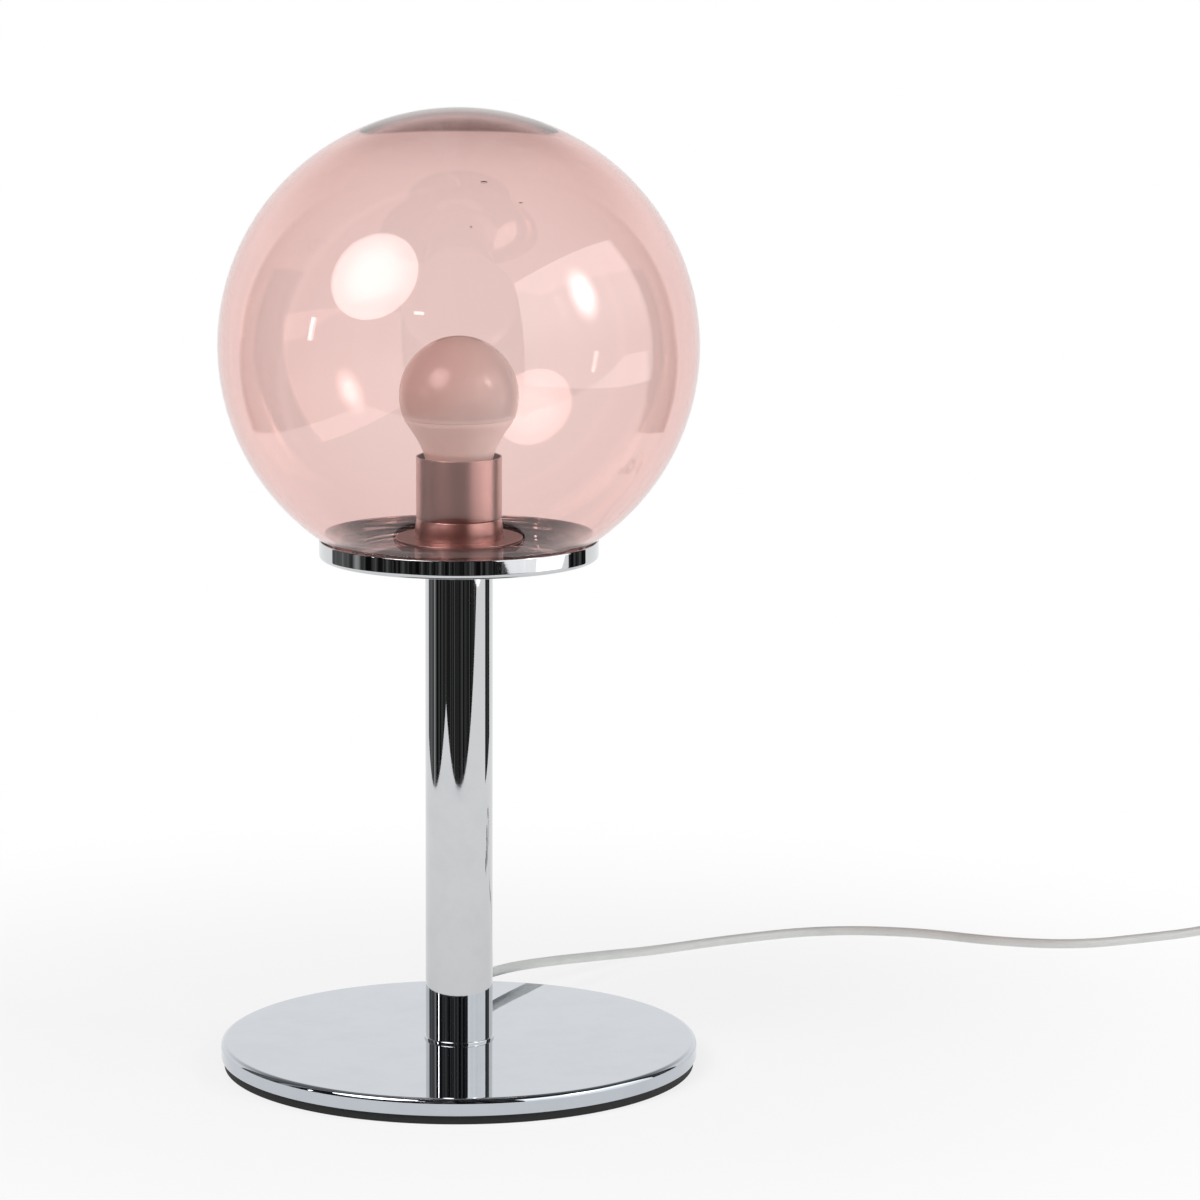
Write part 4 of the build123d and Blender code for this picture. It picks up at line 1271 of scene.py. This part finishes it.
@dataclass(frozen=True)
class Lamp:
    """A studio lamp that faces the globe.

    Its azimuth and height are degrees to the right of the front and above level, seen from the
    globe. How far away it is and its size are in metres, and a level of 1 shows as white. The
    middle's brightness reaches out to the share core, and falls to the share edge at the outline.
    """

    name: str
    azimuth: float
    height: float
    away: float
    size: Pair
    level: float
    outline: Outline = Outline.OBLONG
    edge: float = 1.0
    core: float = 0.0
    mirrored: bool = True

    def build(self) -> None:
        """Makes the lamp."""
        a, e = math.radians(self.azimuth), math.radians(self.height)
        way = Vector((math.sin(a) * math.cos(e), -math.cos(a) * math.cos(e), math.sin(e)))
        place = Vector((0, 0, GLOBE_LEVEL)) + way * self.away
        lamp = area_lamp(self.name, place, way, self.size, self.level, self.outline)
        lamp.visible_glossy = lamp.visible_transmission = self.mirrored
        if self.edge < 1.0:
            self.soften(lamp)

    def soften(self, lamp: Piece) -> None:
        """Makes the brightness fall from the core to the outline.

        Args:
            lamp: the lamp's object.
        """
        sh = Shader(lamp.data)
        position = sh.add("NewGeometry").outputs["Position"]
        local = sh.add("VectorMath", {"operation": "SUBTRACT"}, in_0=position, in_1=lamp.location)
        squares = []
        for side in (Vector((2 / self.size[0], 0, 0)), Vector((0, 2 / self.size[1], 0))):
            across = lamp.rotation_quaternion @ side
            share = sh.add("VectorMath", {"operation": "DOT_PRODUCT"}, in_0=local.outputs[0], in_1=across)
            squares.append(sh.math("POWER", share.outputs["Value"], 2.0))
        out = sh.math("SQRT", sh.math("ADD", *squares))
        sh.add("OutputLight", Surface=sh.glow(sh.ramp(out, self.core, 1.0, 1.0, self.edge)))


@dataclass(frozen=True)
class SideScreen:
    """The white screen that stands on the table's right, brighter higher up."""

    azimuth: float = 66.0
    away: float = 1.5
    size: Pair = (2.18, 1.65)
    foot: float = 0.002
    brightens: Pair = (0.35, 0.95)
    top_level: float = 1.5

    def build(self) -> None:
        """Makes the screen, which gives light of its own."""
        turn = math.radians(self.azimuth)
        way = Vector((math.sin(turn), -math.cos(turn), 0))
        place = way * self.away + Vector((0, 0, self.size[1] / 2 + self.foot))
        screen = area_lamp("side_screen", place, way, self.size, 1.0, Outline.OBLONG)
        sh = Shader(screen.data)
        level = sh.add("SeparateXYZ", Vector=sh.add("NewGeometry").outputs["Position"]).outputs[2]
        sh.add("OutputLight", Surface=sh.glow(sh.ramp(level, *self.brightens, 1.0, self.top_level)))


@dataclass(frozen=True)
class GreyCard:
    """The far grey card that darkens the globe's crown. Only rays through glass see it.

    Its edge is a parabola, which the crown's wall bends to a level line.
    """

    behind: float = 1.8
    middle: float = 0.775
    half_size: Pair = (0.6, 0.525)
    edge: float = 0.472
    bow: float = 3.8
    edge_blur: Pair = (-0.006, 0.012)
    dims_over: float = 0.17
    dimmed: float = 0.8
    pales_over: Pair = (0.04, 0.35)
    greys: Pair = (0.12, 0.35)

    def build(self) -> None:
        """Makes the card, upright behind the lamp and white below its edge."""
        mesh = bmesh.new()
        place = Matrix.Translation((0, self.behind, self.middle))
        upright = Matrix.Rotation(math.pi / 2, 4, "X") @ Matrix.Diagonal((*self.half_size, 1, 1))
        bmesh.ops.create_grid(mesh, x_segments=1, y_segments=1, size=1.0, matrix=place @ upright)
        card = finished(mesh, "grey_card")
        material = bpy.data.materials.new("grey_card")
        sh = Shader(material)
        x, _, z = sh.coordinates()
        edge = sh.math("ADD", sh.math("MULTIPLY", sh.math("POWER", x, 2.0), self.bow), self.edge)
        past = sh.math("SUBTRACT", z, edge)
        below = sh.ramp(past, -self.dims_over, 0.0, 1.0, self.dimmed)
        above = sh.ramp(past, *self.pales_over, *self.greys)
        shine = sh.glow(sh.mixed(sh.ramp(past, *self.edge_blur), below, above))
        sh.add("OutputMaterial", Surface=shine)
        card.data.materials.append(material)
        card.visible_camera = card.visible_diffuse = card.visible_glossy = card.visible_shadow = False


@dataclass(frozen=True)
class DarkRoom:
    """The dark room in front, with faint upright streaks and a paler one on the left.

    Directions are in degrees to the right of the front. Streaks are drawn in noise cells a degree,
    across and up.
    """

    streak_scale: Pair = (0.16, 0.012)
    streaks_show: Pair = (0.44, 0.66)
    streak_levels: Pair = (0.005, 0.12)
    pale_streak: float = -91.0
    pale_fade: Pair = (1.0, 6.0)
    pale_level: float = 0.3
    grey_side: Pair = (-88.0, -112.0)
    grey_level: float = 0.1

    def level(self, sh: Shader, azimuth: Socket, height: Socket | float) -> Socket:
        """The room's brightness in a direction.

        Args:
            sh: the material or world it is for.
            azimuth: the direction's degrees to the right of the front.
            height: its degrees above level.

        Returns:
            The brightness.
        """
        across, up = self.streak_scale
        x, y = sh.math("MULTIPLY", azimuth, across), sh.math("MULTIPLY", height, up)
        drawn = sh.add("CombineXYZ", X=x, Y=y)
        noise = sh.add("TexNoise", Vector=drawn.outputs[0], Scale=1.0, Detail=5.0, Roughness=0.7).outputs[0]
        beside = sh.math("ABSOLUTE", sh.math("ADD", azimuth, -self.pale_streak))
        side = sh.ramp(azimuth, *self.grey_side, 0.0, self.grey_level)
        left = sh.math("ADD", side, sh.ramp(beside, *self.pale_fade, self.pale_level, 0.0))
        return sh.math("ADD", sh.ramp(noise, *self.streaks_show, *self.streak_levels), left)


@dataclass
class Studio:
    """The white table, the paper behind the lamp, the dark room in front and what stands in it.

    The table's measures are in metres, and directions are in degrees.
    """

    table_reach: float = 9.0
    table_edge: float = -0.72
    table_side: float = 0.712
    table_near: float = 0.77
    table_fade: Pair = (0.14, 0.62)
    side_gaps: Pair = (-30.0, 100.0)
    backdrop_from: float = 126.0
    backdrop_top: Pair = (13.0, 45.0)
    room: DarkRoom = DarkRoom()
    lamps: tuple[Lamp, ...] = (
        Lamp("round_softbox", -48.0, 35.5, 1.6, (1.17, 1.13), 5.3, Outline.OVAL, 0.6, 0.2),
        Lamp("side_hot_spot", 65.0, 24.0, 1.45, (0.46, 0.68), 8.0, Outline.OVAL, 0.0, 0.05),
        Lamp("left_strip", -74.6, 8.5, 6.0, (0.19, 0.92), 7.0),
        Lamp("front_slit", -19.2, 21.6, 1.6, (0.12, 0.04), 6.0),
        Lamp("soft_fill", -15.0, 58.0, 2.0, (1.6, 1.6), 0.75, Outline.ROUND, mirrored=False),
    )

    def as_seen(self, sh: Shader) -> Socket:
        """Marks rays that come straight from the camera, or from it through clear glass alone.

        Args:
            sh: the material or world it is for.

        Returns:
            The mark, 0 or 1.
        """
        path = sh.add("LightPath").outputs
        bounced = sh.math("ADD", path["Glossy Depth"], path["Diffuse Depth"])
        clear = sh.math("MULTIPLY", path[Ray.THROUGH.value], sh.math("LESS_THAN", bounced, 0.5))
        return sh.math("MAXIMUM", path[Ray.CAMERA.value], clear)

    def build_world(self) -> None:
        """Makes the room as the lamp's surfaces see it: white paper behind, dark in front."""
        world = bpy.data.worlds.new("studio_room")
        bpy.context.scene.world = world
        sh = Shader(world)
        x, y, z = sh.coordinates("Generated")
        azimuth = sh.azimuth(x, y)
        height = sh.math("DEGREES", sh.math("ARCSINE", z))
        aside = sh.math("ABSOLUTE", azimuth)
        paper = sh.math(
            "MULTIPLY", sh.ramp(aside, self.backdrop_from - 1, self.backdrop_from + 1),
            sh.ramp(height, *self.backdrop_top, 1.0, 0.1),
        )
        room = self.room.level(sh, azimuth, height)
        level = sh.math("ADD", room, sh.math("MULTIPLY", paper, sh.math("SUBTRACT", 1.0, room)))
        light = sh.add("Background", Color=WHITE, Strength=sh.mixed(self.as_seen(sh), level, 1.0))
        sh.add("OutputWorld", Surface=light.outputs[0])

    def build_floor(self) -> None:
        """Makes the white table. It runs out of sight, and in reflections it ends at its edges."""
        mesh = bmesh.new()
        bmesh.ops.create_grid(mesh, x_segments=1, y_segments=1, size=self.table_reach)
        floor = finished(mesh, "studio_floor")
        material = bpy.data.materials.new("studio_floor")
        sh = Shader(material)
        x, y, _ = sh.coordinates()
        paint = sh.add("BsdfDiffuse", Color=(0.8, 0.8, 0.8, 1)).outputs[0]
        reach = sh.math("SQRT", sh.math("ADD", sh.math("POWER", x, 2.0), sh.math("POWER", y, 2.0)))
        away = sh.ramp(reach, *self.table_fade, self.table_near, 1.0)
        lit = sh.add("MixShader", in_0=away, in_1=paint, in_2=sh.glow(1.0)).outputs[0]
        azimuth = sh.azimuth(x, y)
        room = sh.glow(self.room.level(sh, azimuth, 0.0))
        left_gap, right_gap = self.side_gaps
        right = sh.math(
            "MULTIPLY", sh.math("GREATER_THAN", azimuth, right_gap),
            sh.math("LESS_THAN", azimuth, self.backdrop_from),
        )
        left = sh.math(
            "MULTIPLY", sh.math("LESS_THAN", azimuth, left_gap),
            sh.math("GREATER_THAN", azimuth, -self.backdrop_from),
        )
        past_side = sh.math("GREATER_THAN", sh.math("ABSOLUTE", x), self.table_side)
        gap = sh.math("MULTIPLY", past_side, sh.math("MAXIMUM", left, right))
        dark = sh.math("MAXIMUM", gap, sh.math("LESS_THAN", y, self.table_edge))
        past = sh.math("MULTIPLY", dark, sh.math("SUBTRACT", 1.0, self.as_seen(sh)))
        both = sh.add("MixShader", in_0=past, in_1=lit, in_2=room)
        sh.add("OutputMaterial", Surface=both.outputs[0])
        floor.data.materials.append(material)

    def build(self) -> None:
        """Makes the room, the table, the card, the lamps and the screen."""
        self.build_world()
        self.build_floor()
        for thing in (GreyCard(), *self.lamps, SideScreen()):
            thing.build()


def main() -> None:
    """Builds the camera, the lamp and the studio, in that order."""
    logging.basicConfig(level=logging.INFO, format="%(name)s: %(message)s")
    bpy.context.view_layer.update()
    PhotoCamera().build()
    flex = Flex().build()
    for part in (Base(), Stem(), Tray(), Globe(), Holder(), Bulb(), Bushing(), Plug(), Switch()):
        part.build()
    Studio().build()
    bpy.context.scene.view_settings.view_transform = "Standard"


if __name__ == "__main__":
    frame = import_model()
    main()
